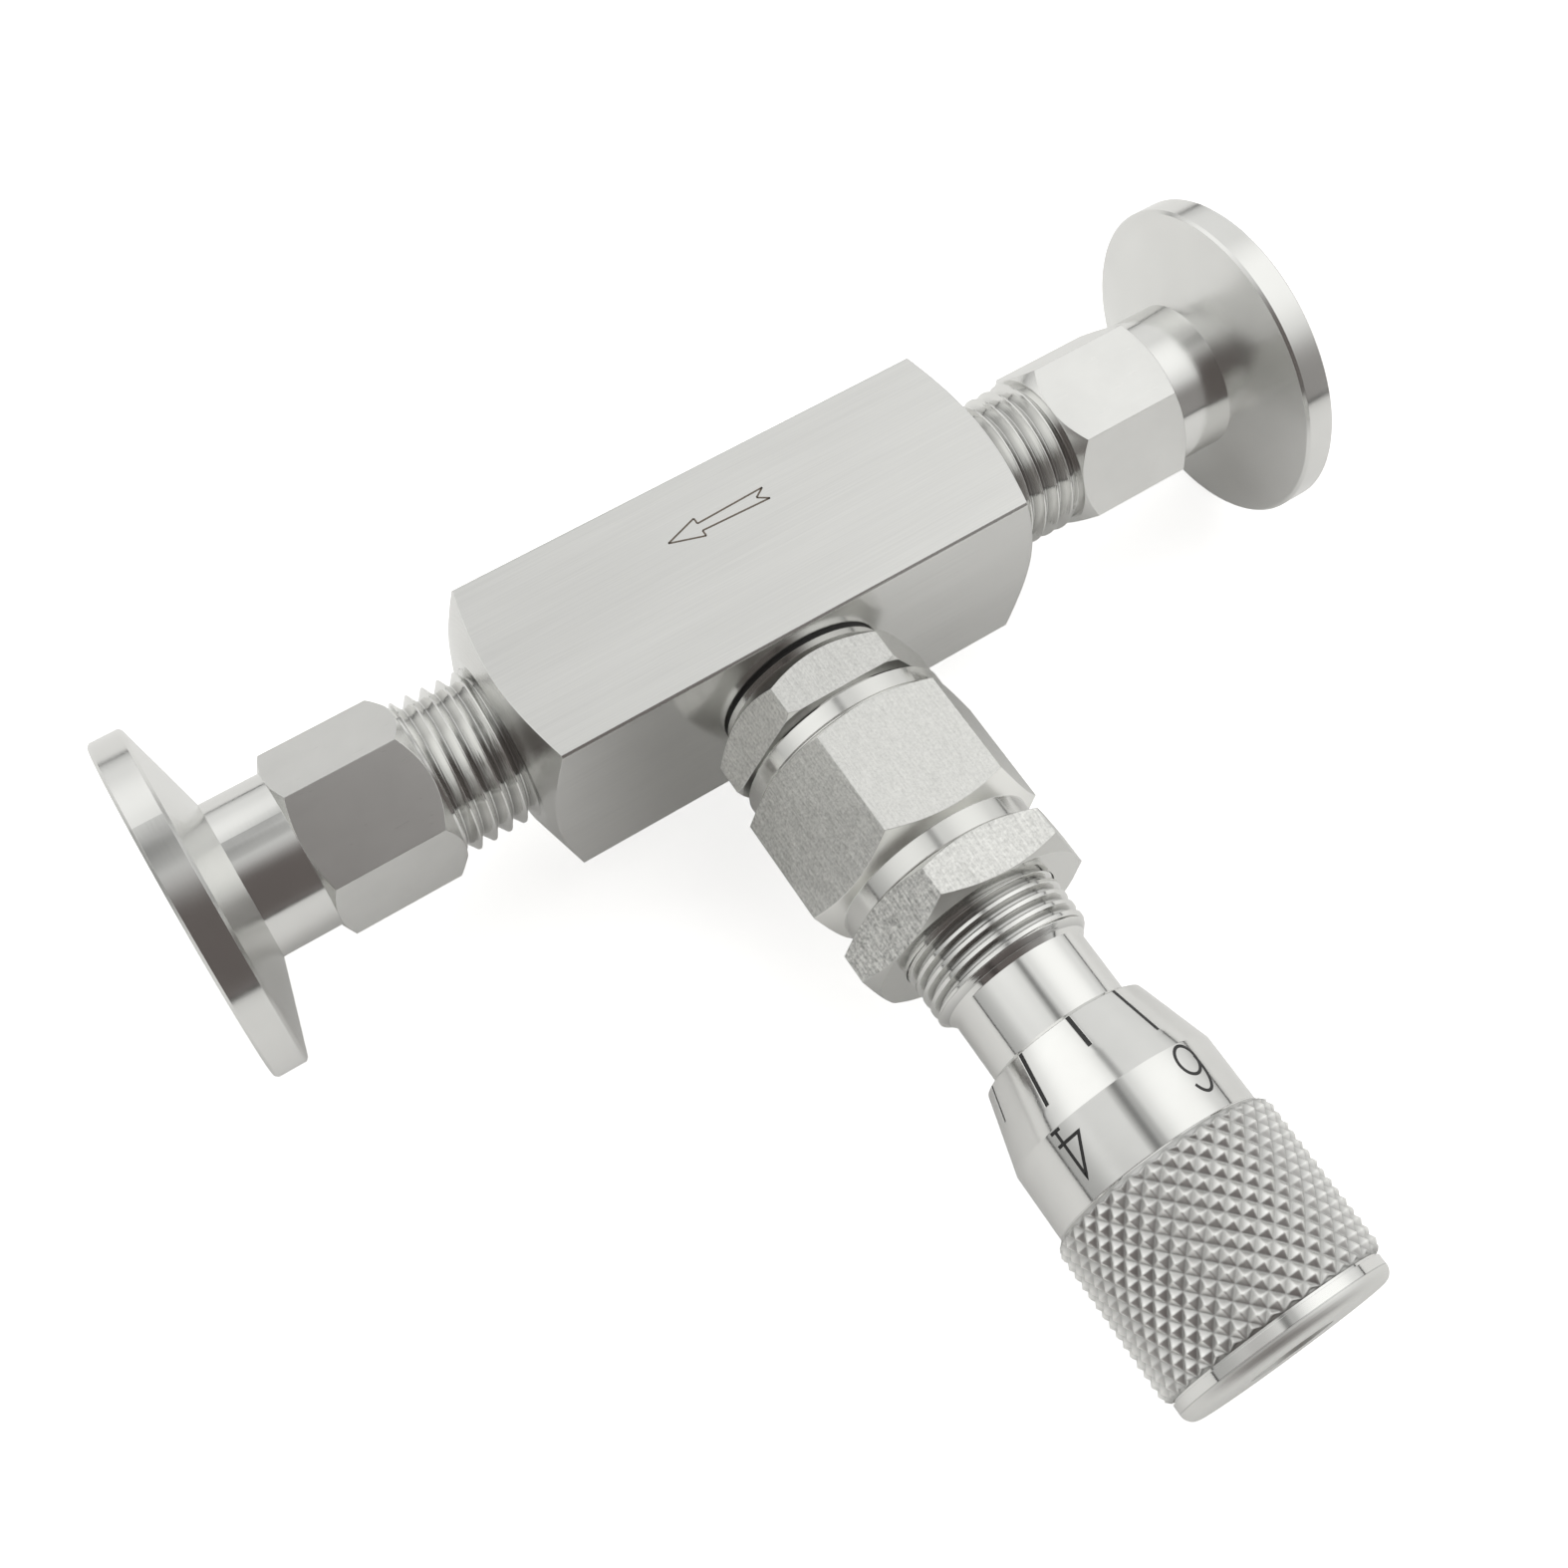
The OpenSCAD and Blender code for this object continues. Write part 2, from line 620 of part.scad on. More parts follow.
// Knurled band: rows of pointed studs between two families of crossing grooves.
// A place in the pattern is a groove crossing when its two indices add up to an even number,
// and a stud's point otherwise. A chamfer of 45 degrees cuts the studs off at both ends.
module knurled_band(start, end, crest, root, inner, count, rows) {
    around = 2 * count;
    row_height = (end - start) / rows;
    depth = crest - root;
    cut = depth * row_height / (depth + row_height);
    function is_stud(i, k) = (i + k) % 2 == 1;
    function is_cut(k) = k == 0 || k == rows;
    function stud_radius(i, k) = root + (!is_stud(i, k) ? 0 : is_cut(k) ? cut : depth);
    function stud_shift(i, k) = !is_stud(i, k) ? 0 : k == 0 ? cut : k == rows ? -cut : 0;
    function ring_point(radius, i, station) =
        [radius * cos(180 * i / count), radius * sin(180 * i / count), station];
    outer_points = [for (k = [0:rows]) for (i = [0:around - 1])
        ring_point(stud_radius(i, k), i, start + k * row_height + stud_shift(i, k))];
    low_points = [for (i = [0:around - 1]) ring_point(inner, i, start)];
    high_points = [for (i = [0:around - 1]) ring_point(inner, i, end)];
    low_first = (rows + 1) * around;
    high_first = low_first + around;
    function place(i, k) = k * around + i % around;
    stud_faces = [for (k = [0:rows - 1]) for (i = [0:around - 1])
        for (half = [0, 1])
            (i + k) % 2 == 0
                ? (half == 0 ? [place(i, k), place(i + 1, k + 1), place(i + 1, k)]
                             : [place(i, k), place(i, k + 1), place(i + 1, k + 1)])
                : (half == 0 ? [place(i, k), place(i, k + 1), place(i + 1, k)]
                             : [place(i + 1, k), place(i, k + 1), place(i + 1, k + 1)])];
    low_faces = [for (i = [0:around - 1]) for (half = [0, 1])
        half == 0 ? [place(i, 0), place(i + 1, 0), low_first + (i + 1) % around]
                  : [place(i, 0), low_first + (i + 1) % around, low_first + i]];
    high_faces = [for (i = [0:around - 1]) for (half = [0, 1])
        half == 0 ? [place(i + 1, rows), place(i, rows), high_first + i]
                  : [place(i + 1, rows), high_first + i, high_first + (i + 1) % around]];
    inner_faces = [for (i = [0:around - 1])
        [low_first + i, low_first + (i + 1) % around, high_first + (i + 1) % around, high_first + i]];
    polyhedron(points = concat(outer_points, low_points, high_points),
               faces = concat(stud_faces, low_faces, high_faces, inner_faces));
}

module knurled_knob() {
    core = knob_core_d / 2;
    root = knob_d / 2 - knurl_depth;
    spigot = thimble_d / 2 - thimble_socket_wall;
    front = min(thimble_d / 2, core);
    land = knob_land_d / 2;
    groove = land - knob_groove_depth;
    groove_end = knurl_end + knob_groove_width;
    bore = stem_d / 2 + seated_gap;
    arc_steps = 8;
    edge = [for (i = [0:arc_steps]) let (turn = 90 * i / arc_steps)
        [land - knob_edge_radius * (1 - cos(turn)), knob_end - knob_edge_radius * (1 - sin(turn))]];
    color(bright_steel) along_stem() difference() {
        union() {
            turned(concat([[bore, knob_spigot_start], [spigot, knob_spigot_start], [spigot, knob_front],
                           [front, knob_front], [core, knurl_start], [core, knurl_end],
                           [groove, knurl_end], [groove, groove_end], [land, groove_end]],
                          edge, [[screw_d / 2, knob_end], [screw_d / 2, stem_top], [bore, stem_top]]));
            knurled_band(knurl_start, knurl_end, knob_d / 2, root, core - 0.6, knurl_count,
                         round(knurl_length / knurl_row));
        }
        hole(screw_d + 0.3, stem_top - past, screw_seat + past);
        hole(screw_head_d + 0.4, screw_seat, knob_end + past);
    }
}

module screw_washer() color(hard_steel) along_stem() difference() {
    hole(screw_head_d, screw_seat, screw_head_bottom);
    hole(screw_d + 0.3, screw_seat - past, screw_head_bottom + past);
}

module knob_screw() color(hard_steel) along_stem() difference() {
    union() {
        hole(screw_d, screw_tip, screw_head_bottom + past);
        turned([[0, screw_head_bottom], [screw_head_d / 2, screw_head_bottom],
                [screw_head_d / 2, screw_head_top - 0.4], [screw_head_d / 2 - 0.4, screw_head_top],
                [0, screw_head_top]]);
    }
    translate([0, 0, screw_head_bottom + 1])
        cylinder(h = screw_head_height, r = corner(screw_socket), $fn = 6);
}

valve_body();
inlet_adapter();
outlet_adapter();
bonnet_gasket();
bonnet();
packing_base_ring();
packing_ring(0);  // packing_ring_lower
packing_ring(1);  // packing_ring_middle
packing_ring(2);  // packing_ring_upper
packing_gland();
union_nut();
stem_barrel();
guide_pin();
panel_nut();
valve_needle();
swivel_ball();
swivel_retainer();
micrometer_stem();
graduated_thimble();
knurled_knob();
screw_washer();
knob_screw();
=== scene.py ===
"""Dresses the vacuum needle valve: threads, graduations, numbers, flow arrow, steel finishes and stage."""

import math

import bmesh
import bpy
from bpy.props import FloatProperty, FloatVectorProperty, IntProperty, PointerProperty
from mathutils import Matrix, Vector


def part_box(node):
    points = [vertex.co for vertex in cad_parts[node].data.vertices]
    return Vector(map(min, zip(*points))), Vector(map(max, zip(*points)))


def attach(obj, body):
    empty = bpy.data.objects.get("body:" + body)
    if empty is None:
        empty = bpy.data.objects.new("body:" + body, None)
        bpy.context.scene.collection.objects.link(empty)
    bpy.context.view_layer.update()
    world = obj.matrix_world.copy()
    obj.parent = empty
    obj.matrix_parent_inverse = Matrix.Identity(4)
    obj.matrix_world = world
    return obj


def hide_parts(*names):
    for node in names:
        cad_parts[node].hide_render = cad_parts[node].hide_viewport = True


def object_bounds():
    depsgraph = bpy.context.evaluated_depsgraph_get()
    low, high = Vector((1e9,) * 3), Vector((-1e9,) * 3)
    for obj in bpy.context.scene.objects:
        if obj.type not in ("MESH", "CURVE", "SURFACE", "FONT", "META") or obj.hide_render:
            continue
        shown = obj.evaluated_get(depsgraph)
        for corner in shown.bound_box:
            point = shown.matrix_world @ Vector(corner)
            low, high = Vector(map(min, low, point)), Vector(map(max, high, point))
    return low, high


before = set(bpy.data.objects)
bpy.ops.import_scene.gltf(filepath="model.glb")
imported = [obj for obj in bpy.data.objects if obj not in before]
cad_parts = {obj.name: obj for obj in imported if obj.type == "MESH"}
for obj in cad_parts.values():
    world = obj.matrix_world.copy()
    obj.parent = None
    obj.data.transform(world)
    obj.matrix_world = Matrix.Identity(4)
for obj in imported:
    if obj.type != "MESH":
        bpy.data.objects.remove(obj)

bl_info = {
    "name": "Vacuum needle valve",
    "version": (1, 0, 0),
    "blender": (4, 5, 0),
    "location": "3D View > Sidebar > Needle valve",
    "description": "Adds threads, graduations, numbers, a flow arrow and steel finishes to the needle valve",
    "category": "Object",
}

CAD_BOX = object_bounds()
MM = 0.001

# The flow axis is X at Y 0 and Z 0. The stem axis runs along -Y through the middle of the body.
BODY_LOW, BODY_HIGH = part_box("valve_body")
STEM_X = (BODY_LOW.x + BODY_HIGH.x) / 2
BODY_HALF = BODY_HIGH.x - STEM_X
BODY_FRONT = -BODY_LOW.y
BODY_TOP = BODY_HIGH.z


def stations(node):
    """Where a node starts and ends along the stem, counted from the flow axis."""
    low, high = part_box(node)
    return -high.y, -low.y


def stem_radius(node):
    """Largest radius of a node round the stem axis."""
    low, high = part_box(node)
    return (high.x - low.x) / 2


UNION_START, UNION_END = stations("union_nut")
BARREL_START, BARREL_END = stations("stem_barrel")
THIMBLE_START, THIMBLE_END = stations("graduated_thimble")
KNOB_END = stations("knurled_knob")[1]
BAND_RADIUS = stem_radius("graduated_thimble")
KNOB_RADIUS = stem_radius("knurled_knob")

# Where the adapters' hexagons start and end, counted from the stem axis
ADAPTER_HEX_START = 30.8 * MM
ADAPTER_HEX_END = 42.0 * MM
# Lengths of the turned ring and collars beside the nuts' hexagons
BONNET_RING = 0.9 * MM
UNION_INNER_COLLAR = 1.9 * MM
UNION_OUTER_COLLAR = 2.0 * MM
# Stations of the knob's knurl, and of the line between its smooth land and its rounded edge
KNURL_START = THIMBLE_END + 0.1 * MM
KNURL_END = KNOB_END - 2.0 * MM
LAND_END = KNURL_END + 1.0 * MM
# Number of graduations round the thimble, and the angle from one to the next
GRADUATIONS = 10
GRADUATION_ANGLE = 2 * math.pi / GRADUATIONS


class NeedleValveSizes(bpy.types.PropertyGroup):
    """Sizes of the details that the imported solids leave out."""

    pipe_pitch: FloatProperty(
        name="Pipe thread pitch", description="Distance between crests of the pipe thread",
        default=1.411 * MM, unit="LENGTH", precision=5)
    pipe_depth: FloatProperty(
        name="Pipe thread depth", description="Height of the pipe thread over its root",
        default=0.9 * MM, unit="LENGTH", precision=5)
    pipe_crest: FloatProperty(
        name="Pipe thread crest", description="Crest radius of the pipe thread at the body",
        default=6.8 * MM, unit="LENGTH", precision=5)
    panel_pitch: FloatProperty(
        name="Panel thread pitch", description="Distance between crests of the panel thread",
        default=1.05 * MM, unit="LENGTH", precision=5)
    panel_depth: FloatProperty(
        name="Panel thread depth", description="Height of the panel thread over its root",
        default=0.6 * MM, unit="LENGTH", precision=5)
    panel_crest: FloatProperty(
        name="Panel thread crest", description="Crest radius of the panel thread",
        default=7.05 * MM, unit="LENGTH", precision=5)
    panel_length: FloatProperty(
        name="Panel thread length", description="Length of the panel thread outside the union nut",
        default=8.7 * MM, unit="LENGTH", precision=5)
    columns: IntProperty(
        name="Columns", description="Points round one turn of a thread", default=120, min=24)
    digit_height: FloatProperty(
        name="Digit height", description="Height of the numbers on the thimble",
        default=3.9 * MM, unit="LENGTH", precision=5)
    digit_stroke: FloatProperty(
        name="Digit stroke", description="Width of the strokes of the numbers",
        default=0.26 * MM, unit="LENGTH", precision=5)
    long_line: FloatProperty(
        name="Long line", description="Length of a graduation that has a number",
        default=4.7 * MM, unit="LENGTH", precision=5)
    short_line: FloatProperty(
        name="Short line", description="Length of a graduation without a number",
        default=3.0 * MM, unit="LENGTH", precision=5)
    line_width: FloatProperty(
        name="Line width", description="Width of the graduations' dark fill",
        default=0.34 * MM, unit="LENGTH", precision=5)
    zero_angle: FloatProperty(
        name="Zero angle", description="Place of the number zero round the stem",
        default=math.radians(277.5), subtype="ANGLE")
    arrow_length: FloatProperty(
        name="Arrow length", description="Length of the flow arrow on the body",
        default=9.4 * MM, unit="LENGTH", precision=5)
    arrow_width: FloatProperty(
        name="Arrow width", description="Width of the flow arrow's head",
        default=2.0 * MM, unit="LENGTH", precision=5)
    arrow_line: FloatProperty(
        name="Arrow line", description="Width of the line that draws the arrow",
        default=0.16 * MM, unit="LENGTH", precision=5)


class NeedleValveFinish(bpy.types.PropertyGroup):
    """Colours and roughness of the metals, the packing, the gasket and the marks."""

    bar_colour: FloatVectorProperty(
        name="Bar steel", description="Colour of the brushed bar stock", subtype="COLOR",
        default=(0.75, 0.75, 0.735), min=0, max=1)
    turned_colour: FloatVectorProperty(
        name="Turned steel", description="Colour of turned and polished steel", subtype="COLOR",
        default=(0.76, 0.76, 0.745), min=0, max=1)
    nut_colour: FloatVectorProperty(
        name="Nut steel", description="Colour of the satin hexagons", subtype="COLOR",
        default=(0.72, 0.72, 0.70), min=0, max=1)
    bronze_colour: FloatVectorProperty(
        name="Gland bronze", description="Colour of the packing gland", subtype="COLOR",
        default=(0.62, 0.42, 0.22), min=0, max=1)
    packing_colour: FloatVectorProperty(
        name="Packing", description="Colour of the packing rings", subtype="COLOR",
        default=(0.86, 0.86, 0.83), min=0, max=1)
    gasket_colour: FloatVectorProperty(
        name="Gasket", description="Colour of the bonnet's gasket", subtype="COLOR",
        default=(0.05, 0.05, 0.05), min=0, max=1)
    ink_colour: FloatVectorProperty(
        name="Fill", description="Colour of the filled lines and numbers", subtype="COLOR",
        default=(0.025, 0.025, 0.025), min=0, max=1)
    mark_colour: FloatVectorProperty(
        name="Etched mark", description="Colour of the etched flow arrow", subtype="COLOR",
        default=(0.16, 0.13, 0.10), min=0, max=1)
    bar_roughness: FloatProperty(
        name="Bar roughness", description="Roughness of the brushed bar", default=0.33, min=0, max=1)
    front_roughness: FloatProperty(
        name="Front roughness", description="Roughness of the bar's face that carries the bonnet",
        default=0.18, min=0, max=1)
    end_roughness: FloatProperty(
        name="End roughness", description="Roughness of the bar's turned ends", default=0.2, min=0, max=1)
    turned_roughness: FloatProperty(
        name="Turned roughness", description="Roughness of turned steel", default=0.1, min=0, max=1)
    taper_roughness: FloatProperty(
        name="Taper roughness", description="Roughness of the flanges' faces and tapers",
        default=0.24, min=0, max=1)
    flat_roughness: FloatProperty(
        name="Flat roughness", description="Roughness of the adapters' hexagon flats",
        default=0.3, min=0, max=1)
    nut_roughness: FloatProperty(
        name="Nut roughness", description="Roughness of the satin hexagons", default=0.34, min=0, max=1)
    chamfer_roughness: FloatProperty(
        name="Chamfer roughness", description="Roughness of the nuts' turned chamfers",
        default=0.28, min=0, max=1)
    knurl_roughness: FloatProperty(
        name="Knurl roughness", description="Roughness of the knob's knurl", default=0.4, min=0, max=1)
    edge_roughness: FloatProperty(
        name="Edge roughness", description="Roughness of the knob's rounded edge",
        default=0.5, min=0, max=1)


class NeedleValveStudio(bpy.types.PropertyGroup):
    """Camera and light."""

    eye: FloatVectorProperty(
        name="Eye", description="Place of the camera", subtype="TRANSLATION", unit="LENGTH", size=3,
        default=(-99.16 * MM, -79.76 * MM, 151.04 * MM))
    right: FloatVectorProperty(
        name="Right", description="Direction of the picture's right side", size=3,
        default=(0.83467, -0.54997, 0.02933))
    down: FloatVectorProperty(
        name="Down", description="Direction of the picture's lower side", size=3,
        default=(-0.47351, -0.74377, -0.4718))
    focal_share: FloatProperty(
        name="Focal share", description="Focal length as a share of the picture's width", default=1.31497)
    centre_u: FloatProperty(
        name="Centre across", description="The lens axis in the picture, as a share of its width",
        default=0.54374)
    centre_v: FloatProperty(
        name="Centre down", description="The lens axis in the picture, as a share of its height",
        default=0.46499)
    tent_level: FloatProperty(
        name="Tent level", description="Brightness of the white tent", default=1.0, min=0)
    floor_glow: FloatProperty(
        name="Floor glow", description="Light that the camera sees on the floor beside its own",
        default=0.68, min=0)
    lamp_power: FloatProperty(
        name="Lamp power", description="Power of the soft lamp", default=0.5, min=0, unit="POWER")
    lamp_size: FloatProperty(
        name="Lamp size", description="Side of the soft lamp", default=0.35, min=0, unit="LENGTH")
    lamp_place: FloatVectorProperty(
        name="Lamp place", description="Place of the soft lamp", subtype="TRANSLATION", unit="LENGTH",
        size=3, default=(0.10, 0.18, 0.42))


def point_on_stem(radius, angle, station):
    """A point round the stem axis. The angle runs from +X towards +Z."""
    return Vector((STEM_X + radius * math.cos(angle), -station, radius * math.sin(angle)))


def point_on_flow(radius, angle, x):
    """A point round the flow axis. The angle runs from +Y towards +Z."""
    return Vector((x, radius * math.cos(angle), radius * math.sin(angle)))


def finish_mesh(name, mesh, material, body, sharp=30):
    """Cleans a bmesh, shades it with sharp edges kept, gives it a material and lets it ride on a body."""
    bmesh.ops.remove_doubles(mesh, verts=mesh.verts, dist=0.5e-6)
    bmesh.ops.dissolve_degenerate(mesh, edges=mesh.edges, dist=0.2e-6)
    bmesh.ops.recalc_face_normals(mesh, faces=mesh.faces)
    limit = math.radians(sharp)
    for face in mesh.faces:
        face.smooth = True
    for edge in mesh.edges:
        edge.smooth = len(edge.link_faces) == 2 and edge.calc_face_angle(0) < limit
    data = bpy.data.meshes.new(name)
    mesh.to_mesh(data)
    mesh.free()
    data.materials.append(material)
    piece = bpy.data.objects.new(name, data)
    bpy.context.scene.collection.objects.link(piece)
    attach(piece, body)
    return piece


class Thread:
    """A vee thread between two stations. It turns the right-hand way along its axis."""

    # Place in the pitch and height at the tooth's corners: start and end of the root, then of the crest
    SHARP = ((0.0, 0.0), (0.08, 0.0), (0.46, 1.0), (0.54, 1.0))
    BLUNT = ((0.0, 0.0), (0.20, 0.0), (0.44, 1.0), (0.74, 1.0))
    # Laps before the start, and laps more than the length takes. What lies past either end is squeezed
    # flat against it, so that every column has as many rows.
    LAPS_BEFORE = 2
    LAPS_BEYOND = 3

    def __init__(self, start, end, crest, depth, pitch, tooth=SHARP, slope=0.0, lead=0.0):
        self.start, self.end = start, end
        self.crest, self.depth, self.pitch = crest, depth, pitch
        self.tooth, self.slope, self.lead = tooth, slope, lead
        self.rows = (math.ceil((end - start) / pitch) + self.LAPS_BEYOND) * len(tooth)

    def height(self, phase):
        """Share of the thread's depth at a place in its pitch."""
        corners = self.tooth + ((1.0, 0.0),)
        for (low, low_height), (high, high_height) in zip(corners, corners[1:]):
            if phase <= high:
                return low_height + (high_height - low_height) * (phase - low) / (high - low)
        return 0.0

    def outline(self, turn):
        """Radius and station of each row at a turn of the helix, from 0 to 1."""
        turn += self.lead
        points = []
        for row in range(self.rows):
            lap, corner = divmod(row, len(self.tooth))
            station = self.start + (lap - self.LAPS_BEFORE + self.tooth[corner][0] + turn) * self.pitch
            station = min(max(station, self.start), self.end)
            share = self.height(((station - self.start) / self.pitch - turn) % 1.0)
            crest = self.crest + self.slope * (station - self.start)
            points.append((crest - self.depth * (1 - share), station))
        return points


def lathe(place, before, thread, after, columns, handed=1):
    """A closed turned mesh from pairs of radius and station, with a thread between two plain outlines.

    The place lays a radius, an angle and a station round an axis. Handed is -1 where that axis runs
    backwards.
    """
    mesh = bmesh.new()
    rings = []
    for column in range(columns + 1):
        turn = column / columns
        points = [*before, *thread.outline(turn), *after]
        angle = handed * 2 * math.pi * turn
        rings.append([mesh.verts.new(place(radius, angle, station)) for radius, station in points])
    for ring, following in zip(rings, rings[1:]):
        for low in range(len(ring)):
            high = (low + 1) % len(ring)
            mesh.faces.new((ring[low], following[low], following[high], ring[high]))
    return mesh


class Shader:
    """A principled material under construction, with short calls for the nodes that metals need."""

    # Turning marks per metre
    TOOL_MARKS = 4200

    def __init__(self, name, colour, metallic=1.0):
        self.material = bpy.data.materials.new(name)
        self.material.use_nodes = True
        self.material.diffuse_color = (*colour, 1)
        self.nodes = self.material.node_tree.nodes
        self.links = self.material.node_tree.links
        self.surface = self.nodes["Principled BSDF"]
        self.surface.inputs["Metallic"].default_value = metallic
        self.colour = tuple(colour)
        self.places = self.nodes.new("ShaderNodeTexCoord")

    def feed(self, value, socket):
        """Gives a socket a link or a plain number."""
        if isinstance(value, bpy.types.NodeSocket):
            self.links.new(value, socket)
        else:
            socket.default_value = value

    def math(self, operation, *values, clamp=False):
        """A math node. Each value is a number or a socket."""
        node = self.nodes.new("ShaderNodeMath")
        node.operation = operation
        node.use_clamp = clamp
        for value, socket in zip(values, node.inputs):
            self.feed(value, socket)
        return node.outputs[0]

    def vector(self, x, y, z):
        """A vector from numbers or sockets."""
        node = self.nodes.new("ShaderNodeCombineXYZ")
        for value, socket in zip((x, y, z), node.inputs):
            self.feed(value, socket)
        return node.outputs[0]

    def axes(self, output="Object"):
        """The three coordinates of the place or the normal, as sockets."""
        node = self.nodes.new("ShaderNodeSeparateXYZ")
        self.links.new(self.places.outputs[output], node.inputs[0])
        return node.outputs[0], node.outputs[1], node.outputs[2]

    def round_axis(self, axis):
        """The place along the flow axis or the stem axis, and the distance from it."""
        x, y, z = self.axes()
        along, across = (x, y) if axis == "flow" else (y, self.math("SUBTRACT", x, STEM_X))
        squares = self.math("ADD", self.math("MULTIPLY", across, across), self.math("MULTIPLY", z, z))
        return along, self.math("SQRT", squares)

    def noise(self, vector, detail=3.0, roughness=0.6):
        """Noise with one lump per unit of the vector, from 0 to 1."""
        node = self.nodes.new("ShaderNodeTexNoise")
        self.links.new(vector, node.inputs["Vector"])
        node.inputs["Scale"].default_value = 1.0
        node.inputs["Detail"].default_value = detail
        node.inputs["Roughness"].default_value = roughness
        return node.outputs[0]

    def lumps(self, x, y, z, detail=3.0, roughness=0.6):
        """Noise with so many lumps per metre along each axis."""
        node = self.nodes.new("ShaderNodeVectorMath")
        node.operation = "MULTIPLY"
        self.links.new(self.places.outputs["Object"], node.inputs[0])
        node.inputs[1].default_value = (x, y, z)
        return self.noise(node.outputs[0], detail, roughness)

    def tool_marks(self, along, radius):
        """Fine rings of a lathe tool, round an axis."""
        return self.noise(self.vector(self.math("MULTIPLY", along, self.TOOL_MARKS),
                                      self.math("MULTIPLY", radius, self.TOOL_MARKS), 0.0))

    def between(self, value, low, high, to_low=0.0, to_high=1.0):
        """Maps a value from one range to another, clamped."""
        node = self.nodes.new("ShaderNodeMapRange")
        for number, socket in zip((value, low, high, to_low, to_high), node.inputs):
            self.feed(number, socket)
        return node.outputs[0]

    def varied(self, share, level, less, more):
        """A level that noise carries from somewhat less to somewhat more."""
        return self.between(share, 0.25, 0.75, level - less, level + more)

    def within(self, value, low, high):
        """1 between two numbers and 0 outside them."""
        return self.math("MULTIPLY", self.math("GREATER_THAN", value, low),
                         self.math("LESS_THAN", value, high))

    def mixed(self, share, low, high):
        """Mixes two numbers or sockets."""
        node = self.nodes.new("ShaderNodeMix")
        for name, value in (("Factor", share), ("A", low), ("B", high)):
            self.feed(value, node.inputs[name])
        return node.outputs[0]

    def weighted(self, first, first_share, second, second_share):
        """The sum of two sockets, each times its share."""
        return self.math("ADD", self.math("MULTIPLY", first, first_share),
                         self.math("MULTIPLY", second, second_share))

    def shaded(self, share, low, high):
        """The colour, from low to high times its level, into the surface."""
        node = self.nodes.new("ShaderNodeMix")
        node.data_type = "RGBA"
        self.links.new(share, node.inputs["Factor"])
        node.inputs[6].default_value = (*[channel * low for channel in self.colour], 1)
        node.inputs[7].default_value = (*[min(channel * high, 1) for channel in self.colour], 1)
        self.links.new(node.outputs[2], self.surface.inputs["Base Color"])

    def rough(self, value):
        """The roughness into the surface."""
        self.links.new(value, self.surface.inputs["Roughness"])

    def bumped(self, height, depth, edge=0.1 * MM):
        """A height from 0 to 1 as a relief of that depth, over edges that look slightly rounded."""
        rounded = self.nodes.new("ShaderNodeBevel")
        rounded.samples = 6
        self.feed(edge, rounded.inputs["Radius"])
        node = self.nodes.new("ShaderNodeBump")
        node.inputs["Distance"].default_value = depth
        self.links.new(height, node.inputs["Height"])
        self.links.new(rounded.outputs[0], node.inputs["Normal"])
        self.links.new(node.outputs[0], self.surface.inputs["Normal"])


def bar_material(finish):
    """Bar stock brushed lengthwise, with turned marks on its chamfered ends."""
    shader = Shader("brushed_bar_steel", finish.bar_colour)
    streaks = shader.lumps(90, 8000, 8000, detail=4)
    clouds = shader.lumps(45, 180, 180, detail=2)
    radius = shader.round_axis("flow")[1]
    rings_per_metre = 5200
    ring_place = shader.math("MULTIPLY", radius, rings_per_metre)
    rings = shader.noise(shader.vector(ring_place, 0.0, 0.0), detail=2)
    normal_x, normal_y = shader.axes("Normal")[:2]
    turned = shader.between(shader.math("ABSOLUTE", normal_x), 0.3, 0.7)
    front = shader.between(normal_y, -0.5, -0.9)
    grain = shader.mixed(turned, streaks, rings)
    shader.shaded(shader.between(shader.weighted(grain, 0.6, clouds, 0.4), 0.35, 0.65), 0.95, 1.04)
    side_rough = shader.varied(grain, finish.bar_roughness, 0.04, 0.05)
    bar_rough = shader.mixed(front, side_rough, finish.front_roughness)
    shader.rough(shader.mixed(turned, bar_rough, finish.end_roughness))
    shader.bumped(grain, 0.004 * MM)
    return shader.material


def turned_shader(name, finish, axis, roughness):
    """Lathe work about the flow axis or the stem axis: its shader, tool marks, clouds and radius."""
    shader = Shader(name, finish.turned_colour)
    along, radius = shader.round_axis(axis)
    tool_marks = shader.tool_marks(along, radius)
    clouds = shader.lumps(160, 160, 160)
    shader.rough(shader.varied(shader.weighted(tool_marks, 0.5, clouds, 0.5), roughness, 0.03, 0.03))
    return shader, tool_marks, clouds, radius


def turned_material(name, finish, roughness):
    """Steel turned about the stem axis, with fine rings."""
    shader, tool_marks, clouds, _ = turned_shader(name, finish, "stem", roughness)
    shader.shaded(shader.between(clouds, 0.3, 0.7), 0.95, 1.03)
    shader.bumped(tool_marks, 0.001 * MM)
    return shader.material


def thread_material(name, finish, axis, root, crest):
    """A thread with torn flanks, painted shade darkening it from crest to root, both radii. Below the root
    it is plain.
    """
    shader, tool_marks, _, radius = turned_shader(name, finish, axis, finish.turned_roughness)
    # Painted shade in the valleys: the colour darkens from the given crest radius down to the root, and
    # stays light below the root
    plain = shader.math("LESS_THAN", radius, root - 0.03 * MM)
    shader.shaded(shader.math("MAXIMUM", plain, shader.between(radius, root, crest)), 0.74, 1.04)
    torn = shader.between(radius, root, root + 0.02 * MM, 0.05, 1.0)
    shader.bumped(shader.math("MULTIPLY", tool_marks, torn), 0.016 * MM, edge=0.08 * MM)
    return shader.material


